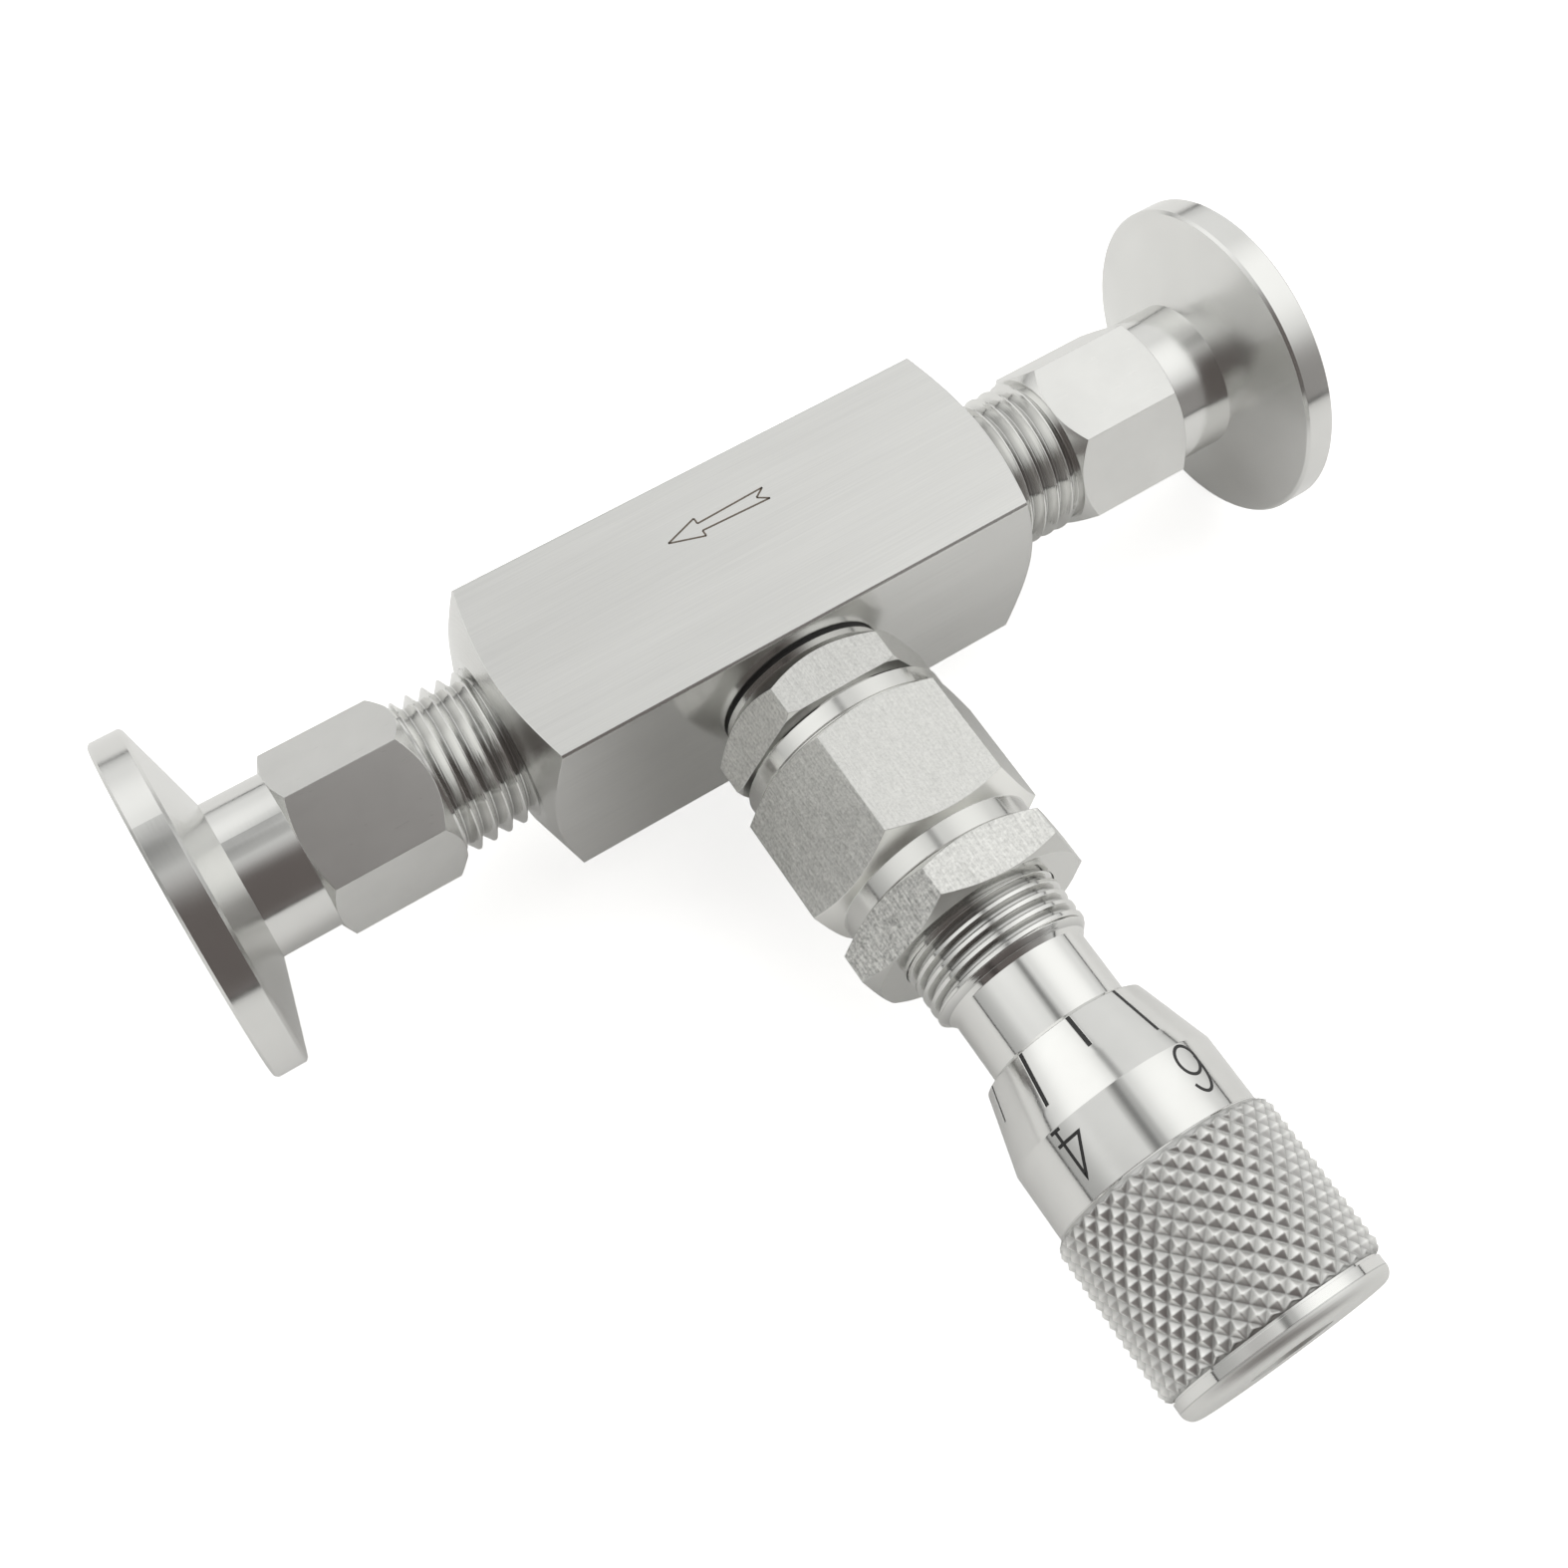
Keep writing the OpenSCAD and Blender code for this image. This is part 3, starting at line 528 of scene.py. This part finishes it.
def adapter_material(finish):
    """Turned steel, with brushed flats on the hexagon between neck and thread."""
    shader = Shader("adapter_steel", finish.turned_colour)
    x, radius = shader.round_axis("flow")
    tilt = shader.math("ABSOLUTE", shader.axes("Normal")[0])
    from_stem = shader.math("ABSOLUTE", shader.math("SUBTRACT", x, STEM_X))
    on_hexagon = shader.within(from_stem, ADAPTER_HEX_START, ADAPTER_HEX_END)
    flat = shader.math("MULTIPLY", on_hexagon, shader.math("LESS_THAN", tilt, 0.1))
    grain = shader.mixed(flat, shader.tool_marks(x, radius), shader.lumps(500, 9000, 9000))
    clouds = shader.lumps(160, 160, 160)
    shader.shaded(shader.between(clouds, 0.3, 0.7), 0.97, 1.03)
    neck_rough = shader.varied(clouds, finish.turned_roughness, -0.01, 0.07)
    turned_rough = shader.mixed(shader.between(tilt, 0.5, 0.9), neck_rough, finish.taper_roughness)
    flat_rough = shader.varied(grain, finish.flat_roughness, 0.03, 0.03)
    shader.rough(shader.mixed(flat, turned_rough, flat_rough))
    shader.bumped(grain, 0.0012 * MM, edge=shader.mixed(on_hexagon, 0.03 * MM, 0.1 * MM))
    return shader.material


def nut_material(name, finish, start, end, grain_size=0.26 * MM, contrast=0.75, chamfer=0.62):
    """Satin hexagon flats between two stations, and turned steel on chamfers, collars and faces.

    The grain of the flats has a size and a contrast. Its speckle in the colour is partly real grain and
    partly painted glints, and its contrast doubles on flats that face the outlet, which is painted light.
    The chamfer is the painted brightness of the turned chamfers, from 0 to 1, standing in for the light they
    reflect.
    """
    turned_level = 0.62
    per_metre = 1 / grain_size
    shader = Shader(name, finish.nut_colour)
    y, radius = shader.round_axis("stem")
    normal_x, normal_y = shader.axes("Normal")[:2]
    tool_marks = shader.tool_marks(y, radius)
    # Speckle and streaks: real grain in roughness and bump; in the colour partly painted glints
    speckle = shader.lumps(per_metre, per_metre, per_metre, detail=2, roughness=0.7)
    streaks = shader.lumps(1.5 * per_metre, 0.15 * per_metre, 1.5 * per_metre, detail=2)
    satin = shader.weighted(speckle, 0.6, streaks, 0.4)
    on_hexagon = shader.within(shader.math("MULTIPLY", y, -1), start, end)
    upright = shader.math("LESS_THAN", shader.math("ABSOLUTE", normal_y), 0.1)
    flat = shader.math("MULTIPLY", on_hexagon, upright)
    # Painted light: the speckle's contrast doubles on flats that face the outlet
    gain = shader.between(normal_x, 0.1, -0.6, contrast, contrast * 2)
    swing = shader.math("MULTIPLY", shader.math("SUBTRACT", satin, 0.5),
                        shader.math("MULTIPLY", gain, flat))
    # Painted light: each nut's turned chamfers get their own brightness
    level = shader.mixed(on_hexagon, turned_level, shader.mixed(flat, chamfer, turned_level))
    shader.shaded(shader.math("ADD", swing, level, clamp=True), 0.35, 1.36)
    collar_rough = shader.varied(tool_marks, finish.turned_roughness, 0.0, 0.05)
    turned_rough = shader.mixed(on_hexagon, collar_rough, finish.chamfer_roughness)
    flat_rough = shader.varied(satin, finish.nut_roughness, 0.06, 0.08)
    shader.rough(shader.mixed(flat, turned_rough, flat_rough))
    shader.bumped(shader.math("MULTIPLY", satin, flat), 0.03 * MM)
    return shader.material


def knob_material(finish):
    """Polished land with a dark line at its end, painted shade in the knurl's grooves, and a softer sheen on
    knurl and rounded edge.
    """
    shader = Shader("knob_steel", finish.turned_colour)
    y, radius = shader.round_axis("stem")
    station = shader.math("MULTIPLY", y, -1)
    on_knurl = shader.within(station, KNURL_START, KNURL_END)
    on_edge = shader.math("GREATER_THAN", station, LAND_END)
    clouds = shader.lumps(700, 700, 700)
    # Painted shade: on the knurl the colour darkens from the crests down into the grooves
    raised = shader.between(radius, KNOB_RADIUS - 0.45 * MM, KNOB_RADIUS - 0.12 * MM)
    # A dark line in the colour where the land ends
    from_line = shader.math("ABSOLUTE", shader.math("SUBTRACT", station, LAND_END))
    end_line = shader.between(from_line, 0.03 * MM, 0.06 * MM, 0.0, 0.55)
    shader.shaded(shader.mixed(on_knurl, end_line, raised), 0.8, 1.28)
    land_rough = shader.varied(clouds, finish.turned_roughness, 0.03, 0.0)
    knurl_rough = shader.varied(clouds, finish.knurl_roughness, 0.04, 0.04)
    band_rough = shader.mixed(on_knurl, land_rough, knurl_rough)
    shader.rough(shader.mixed(on_edge, band_rough, finish.edge_roughness))
    shader.bumped(clouds, 0.001 * MM, edge=shader.mixed(on_knurl, 0.04 * MM, 0.25 * MM))
    return shader.material


def plain_material(name, colour, roughness, metallic=0.0):
    """A quiet finish with slight mottling, for inner pieces and filled lines."""
    shader = Shader(name, colour, metallic)
    clouds = shader.lumps(900, 900, 900, detail=4)
    shader.shaded(shader.between(clouds, 0.3, 0.7), 0.85, 1.12)
    shader.rough(shader.varied(clouds, roughness, 0.06, 0.06))
    shader.bumped(clouds, 0.003 * MM)
    return shader.material


def give_material(material, *nodes):
    """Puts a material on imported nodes."""
    for node in nodes:
        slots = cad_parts[node].data.materials
        slots.clear()
        slots.append(material)


class NEEDLE_OT_body(bpy.types.Operator):
    """Give the bar body its brushed finish"""

    bl_idname = "needle.body"
    bl_label = "Valve body"

    def execute(self, context):
        give_material(bar_material(context.scene.needle_finish), "valve_body")
        return {"FINISHED"}


class NEEDLE_OT_adapters(bpy.types.Operator):
    """Finish the two flanged adapters and cut their pipe threads"""

    bl_idname = "needle.adapters"
    bl_label = "Flanged adapters"

    def execute(self, context):
        sizes = context.scene.needle_sizes
        finish = context.scene.needle_finish
        give_material(adapter_material(finish), "inlet_adapter", "outlet_adapter")
        root = sizes.pipe_crest - sizes.pipe_depth
        # Above this radius the pipe thread has no painted shade
        unshaded_from = sizes.pipe_crest - 0.25 * sizes.pipe_depth
        material = thread_material("pipe_thread_steel", finish, "flow", root, unshaded_from)
        # The thread starts inside the body. A collar follows it and ends inside the hexagon.
        thread = Thread(BODY_HALF - 0.2 * MM, ADAPTER_HEX_START - 0.35 * MM, sizes.pipe_crest,
                        sizes.pipe_depth, sizes.pipe_pitch, slope=1 / 32)
        inner = root - 0.1 * MM
        collar = sizes.pipe_crest - 0.35 * MM
        collar_start, collar_end = thread.end + 0.05 * MM, ADAPTER_HEX_START + 0.1 * MM
        before = [(inner, thread.start)]
        after = [(collar, collar_start), (collar, collar_end), (inner, collar_end)]
        for name, side in (("inlet_pipe_thread", 1), ("outlet_pipe_thread", -1)):
            mesh = lathe(
                lambda radius, angle, distance: point_on_flow(radius, angle, STEM_X + side * distance),
                before, thread, after, sizes.columns, handed=-side)
            piece = finish_mesh(name, mesh, material, "valve")
        return {"FINISHED"}


class NEEDLE_OT_nuts(bpy.types.Operator):
    """Give bonnet, union nut and panel nut their satin flats and turned collars"""

    bl_idname = "needle.nuts"
    bl_label = "Bonnet and nuts"

    def execute(self, context):
        finish = context.scene.needle_finish
        # The chamfer brightness and speckle contrast differ from nut to nut as painted light
        bonnet = nut_material("bonnet_steel", finish, BODY_FRONT + BONNET_RING, UNION_START, contrast=0.8)
        union = nut_material("union_nut_steel", finish, UNION_START + UNION_INNER_COLLAR,
                             UNION_END - UNION_OUTER_COLLAR, chamfer=0.95)
        panel = nut_material("panel_nut_steel", finish, *stations("panel_nut"), grain_size=0.3 * MM,
                             contrast=1.4, chamfer=0.52)
        give_material(bonnet, "bonnet")
        give_material(union, "union_nut")
        give_material(panel, "panel_nut")
        return {"FINISHED"}


class NEEDLE_OT_barrel(bpy.types.Operator):
    """Turn the barrel with its fine panel thread"""

    bl_idname = "needle.barrel"
    bl_label = "Threaded barrel"

    def execute(self, context):
        sizes = context.scene.needle_sizes
        crest = sizes.panel_crest
        root = crest - sizes.panel_depth
        # The panel thread's painted shade fades out 0.2 of its depth below the crest
        material = thread_material("barrel_steel", context.scene.needle_finish, "stem", root,
                                   crest - 0.2 * sizes.panel_depth)
        low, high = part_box("stem_barrel")
        # Radii of collar, shank and sleeve, and of the bores for the needle's head and the stem
        collar, shank, sleeve = (high.x - low.x) / 2, 6.95 * MM, 6.1 * MM
        head_bore, stem_bore = 4.06 * MM, 3.05 * MM
        collar_end = BARREL_START + 2.6 * MM
        head_bore_end = 36.5 * MM
        edge = 0.25 * MM
        thread = Thread(UNION_END - 0.1 * MM, UNION_END + sizes.panel_length, crest, sizes.panel_depth,
                        sizes.panel_pitch, tooth=Thread.BLUNT, lead=0.31)
        relief_end = thread.end + 0.9 * MM
        before = [(head_bore, BARREL_START), (collar, BARREL_START), (collar, collar_end),
                  (shank, collar_end), (shank, thread.start)]
        after = [(crest - 0.15 * MM, thread.end), (sleeve, relief_end), (sleeve, BARREL_END - edge),
                 (sleeve - edge, BARREL_END), (stem_bore, BARREL_END), (stem_bore, head_bore_end),
                 (head_bore, head_bore_end)]
        mesh = lathe(point_on_stem, before, thread, after, sizes.columns)
        piece = finish_mesh("threaded_barrel", mesh, material, "valve", sharp=25)
        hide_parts("stem_barrel")
        return {"FINISHED"}


def arc(centre_u, centre_v, radius_u, radius_v, start, end, steps=20):
    """Points on an ellipse from one angle to another, in degrees."""
    angles = [math.radians(start + (end - start) * step / steps) for step in range(steps + 1)]
    return [(centre_u + radius_u * math.cos(angle), centre_v + radius_v * math.sin(angle))
            for angle in angles]


# Strokes of the numbers, in shares of their height, from the left foot corner
NUMBERS = {
    0: [arc(0.28, 0.5, 0.26, 0.5, 90, 450, 32)],
    2: [arc(0.28, 0.74, 0.25, 0.26, 165, -30) + [(0.04, 0.0), (0.54, 0.0)]],
    4: [[(0.40, 0.0), (0.40, 1.0), (0.0, 0.27), (0.54, 0.27)], [(0.28, 0.0), (0.52, 0.0)]],
    6: [arc(0.27, 0.31, 0.25, 0.31, 90, 450, 28), arc(0.28, 0.5, 0.26, 0.5, 205, 35, 20)],
    8: [arc(0.28, 0.27, 0.26, 0.27, 90, 450, 28), arc(0.28, 0.77, 0.2, 0.23, -90, 270, 24)],
}
# Middle of a number across, in the same shares
NUMBER_MIDDLE = 0.27


def divided(points, step):
    """Adds points, so that no stretch is longer than a step."""
    fine = [points[0]]
    for (u, v), (next_u, next_v) in zip(points, points[1:]):
        count = max(1, math.ceil(math.hypot(next_u - u, next_v - v) / step))
        fine += [(u + (next_u - u) * part / count, v + (next_v - v) * part / count)
                 for part in range(1, count + 1)]
    return fine


def ribbon(mesh, points, width, place, low, high):
    """A closed flat band along points of a plane, which place lays on a surface at two heights."""
    points = [Vector(point) for point in divided(points, width)]
    sides = []
    for index, here in enumerate(points):
        into = here - points[max(index - 1, 0)]
        out = points[min(index + 1, len(points) - 1)] - here
        ahead = out.normalized() if out.length > 0 else into.normalized()
        behind = into.normalized() if into.length > 0 else ahead
        middle = ahead + behind
        # A turn back on itself has no middle direction
        middle = middle.normalized() if middle.length > 0.2 else ahead
        # The mitre at a sharp corner grows to 2.5 times the half width at most
        reach = width / 2 / max(middle.dot(ahead), 0.4)
        across = Vector((-middle.y, middle.x)) * reach
        sides.append((here + across, here - across))
    rows = []
    for left, right in sides:
        rows.append([mesh.verts.new(place(*side, height)) for side, height in
                     ((left, low), (left, high), (right, high), (right, low))])
    for row, following in zip(rows, rows[1:]):
        for corner in range(4):
            beside = (corner + 1) % 4
            mesh.faces.new((row[corner], row[beside], following[beside], following[corner]))
    mesh.faces.new(reversed(rows[0]))
    mesh.faces.new(rows[-1])


class NEEDLE_OT_thimble(bpy.types.Operator):
    """Finish the thimble, fill its graduations and number every second one"""

    bl_idname = "needle.thimble"
    bl_label = "Graduated thimble"

    def execute(self, context):
        sizes = context.scene.needle_sizes
        finish = context.scene.needle_finish
        steel = turned_material("thimble_steel", finish, finish.turned_roughness)
        give_material(steel, "graduated_thimble")
        ink = plain_material("filled_lines", finish.ink_colour, roughness=0.45)
        self.number(sizes, ink)
        self.fill_lines(sizes, ink)
        return {"FINISHED"}

    def number(self, sizes, ink):
        """Lays the numbers on the band behind the cone."""
        mesh = bmesh.new()
        foot = THIMBLE_START + 6.75 * MM
        sunk, raised = -0.05 * MM, 0.012 * MM
        for number, strokes in NUMBERS.items():
            centre = sizes.zero_angle - GRADUATION_ANGLE * number
            for stroke in strokes:
                points = [((u - NUMBER_MIDDLE) * sizes.digit_height, v * sizes.digit_height)
                          for u, v in stroke]
                ribbon(mesh, points, sizes.digit_stroke,
                       lambda u, v, height: point_on_stem(BAND_RADIUS + height, centre + u / BAND_RADIUS,
                                                          foot + v),
                       sunk, raised)
        piece = finish_mesh("thimble_numbers", mesh, ink, "knob")

    def fill_lines(self, sizes, ink):
        """Lays dark fill in the engraved lines of the cone, below its surface."""
        front_radius = 7.25 * MM
        front, cone_end = THIMBLE_START + 0.35 * MM, THIMBLE_START + 6.55 * MM
        slope = (BAND_RADIUS - front_radius) / (cone_end - front)
        bottom, top = -0.14 * MM, -0.04 * MM
        mesh = bmesh.new()
        for line in range(GRADUATIONS):
            angle = sizes.zero_angle - GRADUATION_ANGLE * line
            length = sizes.short_line if line % 2 else sizes.long_line
            points = [(0.0, 0.0), (0.0, length * math.cos(math.atan(slope)))]
            ribbon(mesh, points, sizes.line_width,
                   lambda u, v, height: point_on_stem(front_radius + v * slope + height,
                                                      angle + u / front_radius, front + v),
                   bottom, top)
        piece = finish_mesh("graduation_fill", mesh, ink, "knob")


class NEEDLE_OT_knob(bpy.types.Operator):
    """Finish the knurled knob and its screw"""

    bl_idname = "needle.knob"
    bl_label = "Knurled knob"

    def execute(self, context):
        finish = context.scene.needle_finish
        give_material(knob_material(finish), "knurled_knob")
        give_material(turned_material("screw_steel", finish, roughness=0.3), "knob_screw", "screw_washer")
        return {"FINISHED"}


class NEEDLE_OT_inner(bpy.types.Operator):
    """Finish the pieces inside the valve"""

    bl_idname = "needle.inner"
    bl_label = "Inner pieces"

    def execute(self, context):
        finish = context.scene.needle_finish
        give_material(turned_material("ground_steel", finish, roughness=0.22), "valve_needle",
                      "swivel_ball", "swivel_retainer", "micrometer_stem", "guide_pin",
                      "packing_base_ring")
        give_material(plain_material("white_packing", finish.packing_colour, roughness=0.5),
                      "packing_ring_lower", "packing_ring_middle", "packing_ring_upper")
        give_material(plain_material("gland_bronze", finish.bronze_colour, roughness=0.3, metallic=1.0),
                      "packing_gland")
        give_material(plain_material("black_gasket", finish.gasket_colour, roughness=0.6),
                      "bonnet_gasket")
        return {"FINISHED"}


class NEEDLE_OT_arrow(bpy.types.Operator):
    """Etch an outline arrow on the body that shows the flow from inlet to outlet"""

    bl_idname = "needle.arrow"
    bl_label = "Flow arrow"

    def execute(self, context):
        sizes = context.scene.needle_sizes
        length, width = sizes.arrow_length, sizes.arrow_width
        tip = STEM_X - 5.1 * MM
        middle = 3.5 * MM
        sunk, raised = -0.02 * MM, 0.004 * MM
        head, tail = length * 0.32, width * 0.62
        half = [(0.0, 0.0), (head, width / 2), (head, width * 0.2), (length, tail / 2), (length * 0.9, 0.0)]
        outline = half + [(u, -v) for u, v in reversed(half[:-1])]
        mesh = bmesh.new()
        for start, end in zip(outline, outline[1:]):
            ribbon(mesh, [start, end], sizes.arrow_line,
                   lambda u, v, height: Vector((tip + u, middle + v, BODY_TOP + height)), sunk, raised)
        mark = plain_material("etched_mark", context.scene.needle_finish.mark_colour, roughness=0.6)
        piece = finish_mesh("flow_arrow", mesh, mark, "valve")
        return {"FINISHED"}


class Tent:
    """The world under construction. It starts as a belt of grey levels, and each call lays more on."""

    def __init__(self):
        world = bpy.data.worlds.new("tent")
        bpy.context.scene.world = world
        world.use_nodes = True
        self.nodes, self.links = world.node_tree.nodes, world.node_tree.links
        self.background = self.nodes["Background"]
        self.direction = self.nodes.new("ShaderNodeTexCoord").outputs["Generated"]
        split = self.nodes.new("ShaderNodeSeparateXYZ")
        self.links.new(self.direction, split.inputs[0])
        self.rise = split.outputs[2]

    def belt(self, stops):
        """Starts with grey levels by the rise of the direction, 0 at the horizon and 1 overhead."""
        belt = self.nodes.new("ShaderNodeValToRGB")
        belt.color_ramp.interpolation = "EASE"
        elements = belt.color_ramp.elements
        for count, (rise, level) in enumerate(stops):
            stop = elements[count] if count < len(elements) else elements.new(rise)
            stop.position = rise
            stop.color = (level, level, level * 0.985, 1)
        self.links.new(self.rise, belt.inputs[0])
        self.level = belt.outputs[0]

    def step(self, value, low, high):
        """A smooth step from 0 at low to 1 at high."""
        ramp = self.nodes.new("ShaderNodeMapRange")
        ramp.interpolation_type = "SMOOTHSTEP"
        self.links.new(value, ramp.inputs[0])
        ramp.inputs[1].default_value = low
        ramp.inputs[2].default_value = high
        return ramp.outputs[0]

    def dot(self, towards):
        """How far the direction points towards another one."""
        node = self.nodes.new("ShaderNodeVectorMath")
        node.operation = "DOT_PRODUCT"
        self.links.new(self.direction, node.inputs[0])
        node.inputs[1].default_value = Vector(towards).normalized()
        return node.outputs["Value"]

    def lay(self, share, colour, operation="MIX"):
        """Lays a colour over the level."""
        mix = self.nodes.new("ShaderNodeMix")
        mix.data_type = "RGBA"
        mix.blend_type = operation
        self.links.new(share, mix.inputs["Factor"])
        self.links.new(self.level, mix.inputs[6])
        mix.inputs[7].default_value = (*colour, 1)
        self.level = mix.outputs[2]

    def patch(self, azimuth, elevation, outer, inner, colour):
        """Lays a soft round patch. All angles are in degrees, the azimuth from +X."""
        turn, rise = math.radians(azimuth), math.radians(elevation)
        towards = (math.cos(turn) * math.cos(rise), math.sin(turn) * math.cos(rise), math.sin(rise))
        share = self.step(self.dot(towards), math.cos(math.radians(outer)), math.cos(math.radians(inner)))
        self.lay(share, colour)

    def line(self, distance, width, softness, shade):
        """Darkens a thin line, where the distance is small."""
        size = self.nodes.new("ShaderNodeMath")
        size.operation = "ABSOLUTE"
        self.links.new(distance, size.inputs[0])
        self.lay(self.step(size.outputs[0], width + softness, width), (shade, shade, shade), "MULTIPLY")

    def finish(self, strength):
        """Shows the camera plain white, and lights the scene with the level."""
        self.lay(self.nodes.new("ShaderNodeLightPath").outputs["Is Camera Ray"], (1, 1, 1))
        self.links.new(self.level, self.background.inputs["Color"])
        self.background.inputs["Strength"].default_value = strength


def studio_world(studio):
    """A white tent with bright panels, dim walls, dark openings and two dark seams."""
    tent = Tent()
    tent.belt(((0.0, 0.64), (0.26, 0.88), (0.5, 0.91), (0.77, 0.86), (0.88, 0.86), (0.97, 0.86),
               (1.0, 0.73)))
    # Bright panels beyond the inlet, and on the side away from the knob
    tent.patch(3, 49, 34, 1, (1.2, 1.2, 1.18))
    tent.patch(121, 40, 33, 1, (1.27, 1.27, 1.25))
    # Dim wall beyond the outlet, a dark opening beyond the knob, and the dark room behind the camera
    tent.patch(-173, -2, 46, 10, (0.46, 0.46, 0.45))
    tent.patch(-88, 15, 49, 30, (0.32, 0.31, 0.30))
    tent.patch(-122, 32, 59, 33, (0.145, 0.128, 0.122))
    # Small dim patch overhead
    tent.patch(112, 82, 12, 5, (0.5, 0.5, 0.49))
    # Seams of the tent: one upright, one along the horizon
    tent.line(tent.dot((-0.943, 0.306, -0.12)), 0.01, 0.085, 0.5)
    tent.line(tent.rise, 0.022, 0.024, 0.1)
    tent.finish(studio.tent_level)


def studio_floor(studio):
    """A pale floor that keeps the valve's shadow. It glows for the camera, and little in the metal."""
    mesh = bmesh.new()
    bmesh.ops.create_circle(mesh, cap_ends=True, segments=96, radius=2.5)
    data = bpy.data.meshes.new("floor")
    mesh.to_mesh(data)
    mesh.free()
    floor = bpy.data.objects.new("floor", data)
    low, high = CAD_BOX
    floor.location = ((low.x + high.x) / 2, (low.y + high.y) / 2, low.z)
    bpy.context.scene.collection.objects.link(floor)

    material = bpy.data.materials.new("pale_floor")
    material.use_nodes = True
    nodes, links = material.node_tree.nodes, material.node_tree.links
    surface = nodes["Principled BSDF"]
    surface.inputs["Base Color"].default_value = (0.95, 0.95, 0.94, 1)
    surface.inputs["Roughness"].default_value = 0.9
    surface.inputs["Specular IOR Level"].default_value = 0.1
    surface.inputs["Emission Color"].default_value = (1, 1, 1, 1)
    path = nodes.new("ShaderNodeLightPath")
    mirrored = nodes.new("ShaderNodeMath")
    mirrored.operation = "MULTIPLY"
    links.new(path.outputs["Is Glossy Ray"], mirrored.inputs[0])
    mirrored.inputs[1].default_value = 0.05
    glow = nodes.new("ShaderNodeMath")
    glow.operation = "MULTIPLY_ADD"
    links.new(path.outputs["Is Camera Ray"], glow.inputs[0])
    glow.inputs[1].default_value = studio.floor_glow
    links.new(mirrored.outputs[0], glow.inputs[2])
    links.new(glow.outputs[0], surface.inputs["Emission Strength"])
    data.materials.append(material)


def studio_lamp(studio):
    """A soft lamp above the valve, which the metal doesn't mirror."""
    lamp = bpy.data.lights.new("soft_lamp", "AREA")
    lamp.energy = studio.lamp_power
    lamp.size = studio.lamp_size
    holder = bpy.data.objects.new("soft_lamp", lamp)
    holder.visible_glossy = False
    holder.location = studio.lamp_place
    aim = Vector((STEM_X, -0.03, 0)) - holder.location
    holder.rotation_euler = aim.to_track_quat("-Z", "Y").to_euler()
    bpy.context.scene.collection.objects.link(holder)


def studio_camera(studio):
    """The camera, with the axis of its lens beside the picture's middle."""
    lens = bpy.data.cameras.new("camera")
    camera = bpy.data.objects.new("camera", lens)
    right, down = Vector(studio.right).normalized(), Vector(studio.down).normalized()
    ahead = right.cross(down)
    turn = Matrix((right, -down, -ahead)).transposed().to_4x4()
    camera.matrix_world = Matrix.Translation(Vector(studio.eye)) @ turn
    lens.sensor_width = 36
    lens.lens = studio.focal_share * lens.sensor_width
    lens.shift_x = 0.5 - studio.centre_u
    lens.shift_y = studio.centre_v - 0.5
    lens.clip_start = 0.005
    bpy.context.scene.collection.objects.link(camera)
    bpy.context.scene.camera = camera


class NEEDLE_OT_stage(bpy.types.Operator):
    """Set up the floor, the tent, the lamp and the camera"""

    bl_idname = "needle.stage"
    bl_label = "Stage"

    def execute(self, context):
        studio = context.scene.needle_studio
        studio_world(studio)
        studio_floor(studio)
        studio_lamp(studio)
        studio_camera(studio)
        context.scene.view_settings.view_transform = "Standard"
        return {"FINISHED"}


OPERATORS = (NEEDLE_OT_body, NEEDLE_OT_adapters, NEEDLE_OT_nuts, NEEDLE_OT_barrel, NEEDLE_OT_thimble,
             NEEDLE_OT_knob, NEEDLE_OT_inner, NEEDLE_OT_arrow, NEEDLE_OT_stage)


class NEEDLE_PT_panel(bpy.types.Panel):
    """Buttons for the valve's pieces"""

    bl_idname = "NEEDLE_PT_panel"
    bl_label = "Needle valve"
    bl_space_type = "VIEW_3D"
    bl_region_type = "UI"
    bl_category = "Needle valve"

    def draw(self, context):
        for operator in OPERATORS:
            self.layout.operator(operator.bl_idname)


GROUPS = (NeedleValveSizes, NeedleValveFinish, NeedleValveStudio)


def register():
    """Registers the classes and gives the scene its three groups of properties."""
    for made in (*GROUPS, *OPERATORS, NEEDLE_PT_panel):
        bpy.utils.register_class(made)
    bpy.types.Scene.needle_sizes = PointerProperty(type=NeedleValveSizes)
    bpy.types.Scene.needle_finish = PointerProperty(type=NeedleValveFinish)
    bpy.types.Scene.needle_studio = PointerProperty(type=NeedleValveStudio)


def unregister():
    """Takes back all that register has done."""
    del bpy.types.Scene.needle_sizes
    del bpy.types.Scene.needle_finish
    del bpy.types.Scene.needle_studio
    for made in reversed((*GROUPS, *OPERATORS, NEEDLE_PT_panel)):
        bpy.utils.unregister_class(made)


def main():
    """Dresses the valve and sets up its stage."""
    register()
    bpy.ops.needle.body()
    bpy.ops.needle.adapters()
    bpy.ops.needle.nuts()
    bpy.ops.needle.barrel()
    bpy.ops.needle.thimble()
    bpy.ops.needle.knob()
    bpy.ops.needle.inner()
    bpy.ops.needle.arrow()
    bpy.ops.needle.stage()


if __name__ == "__main__":
    main()
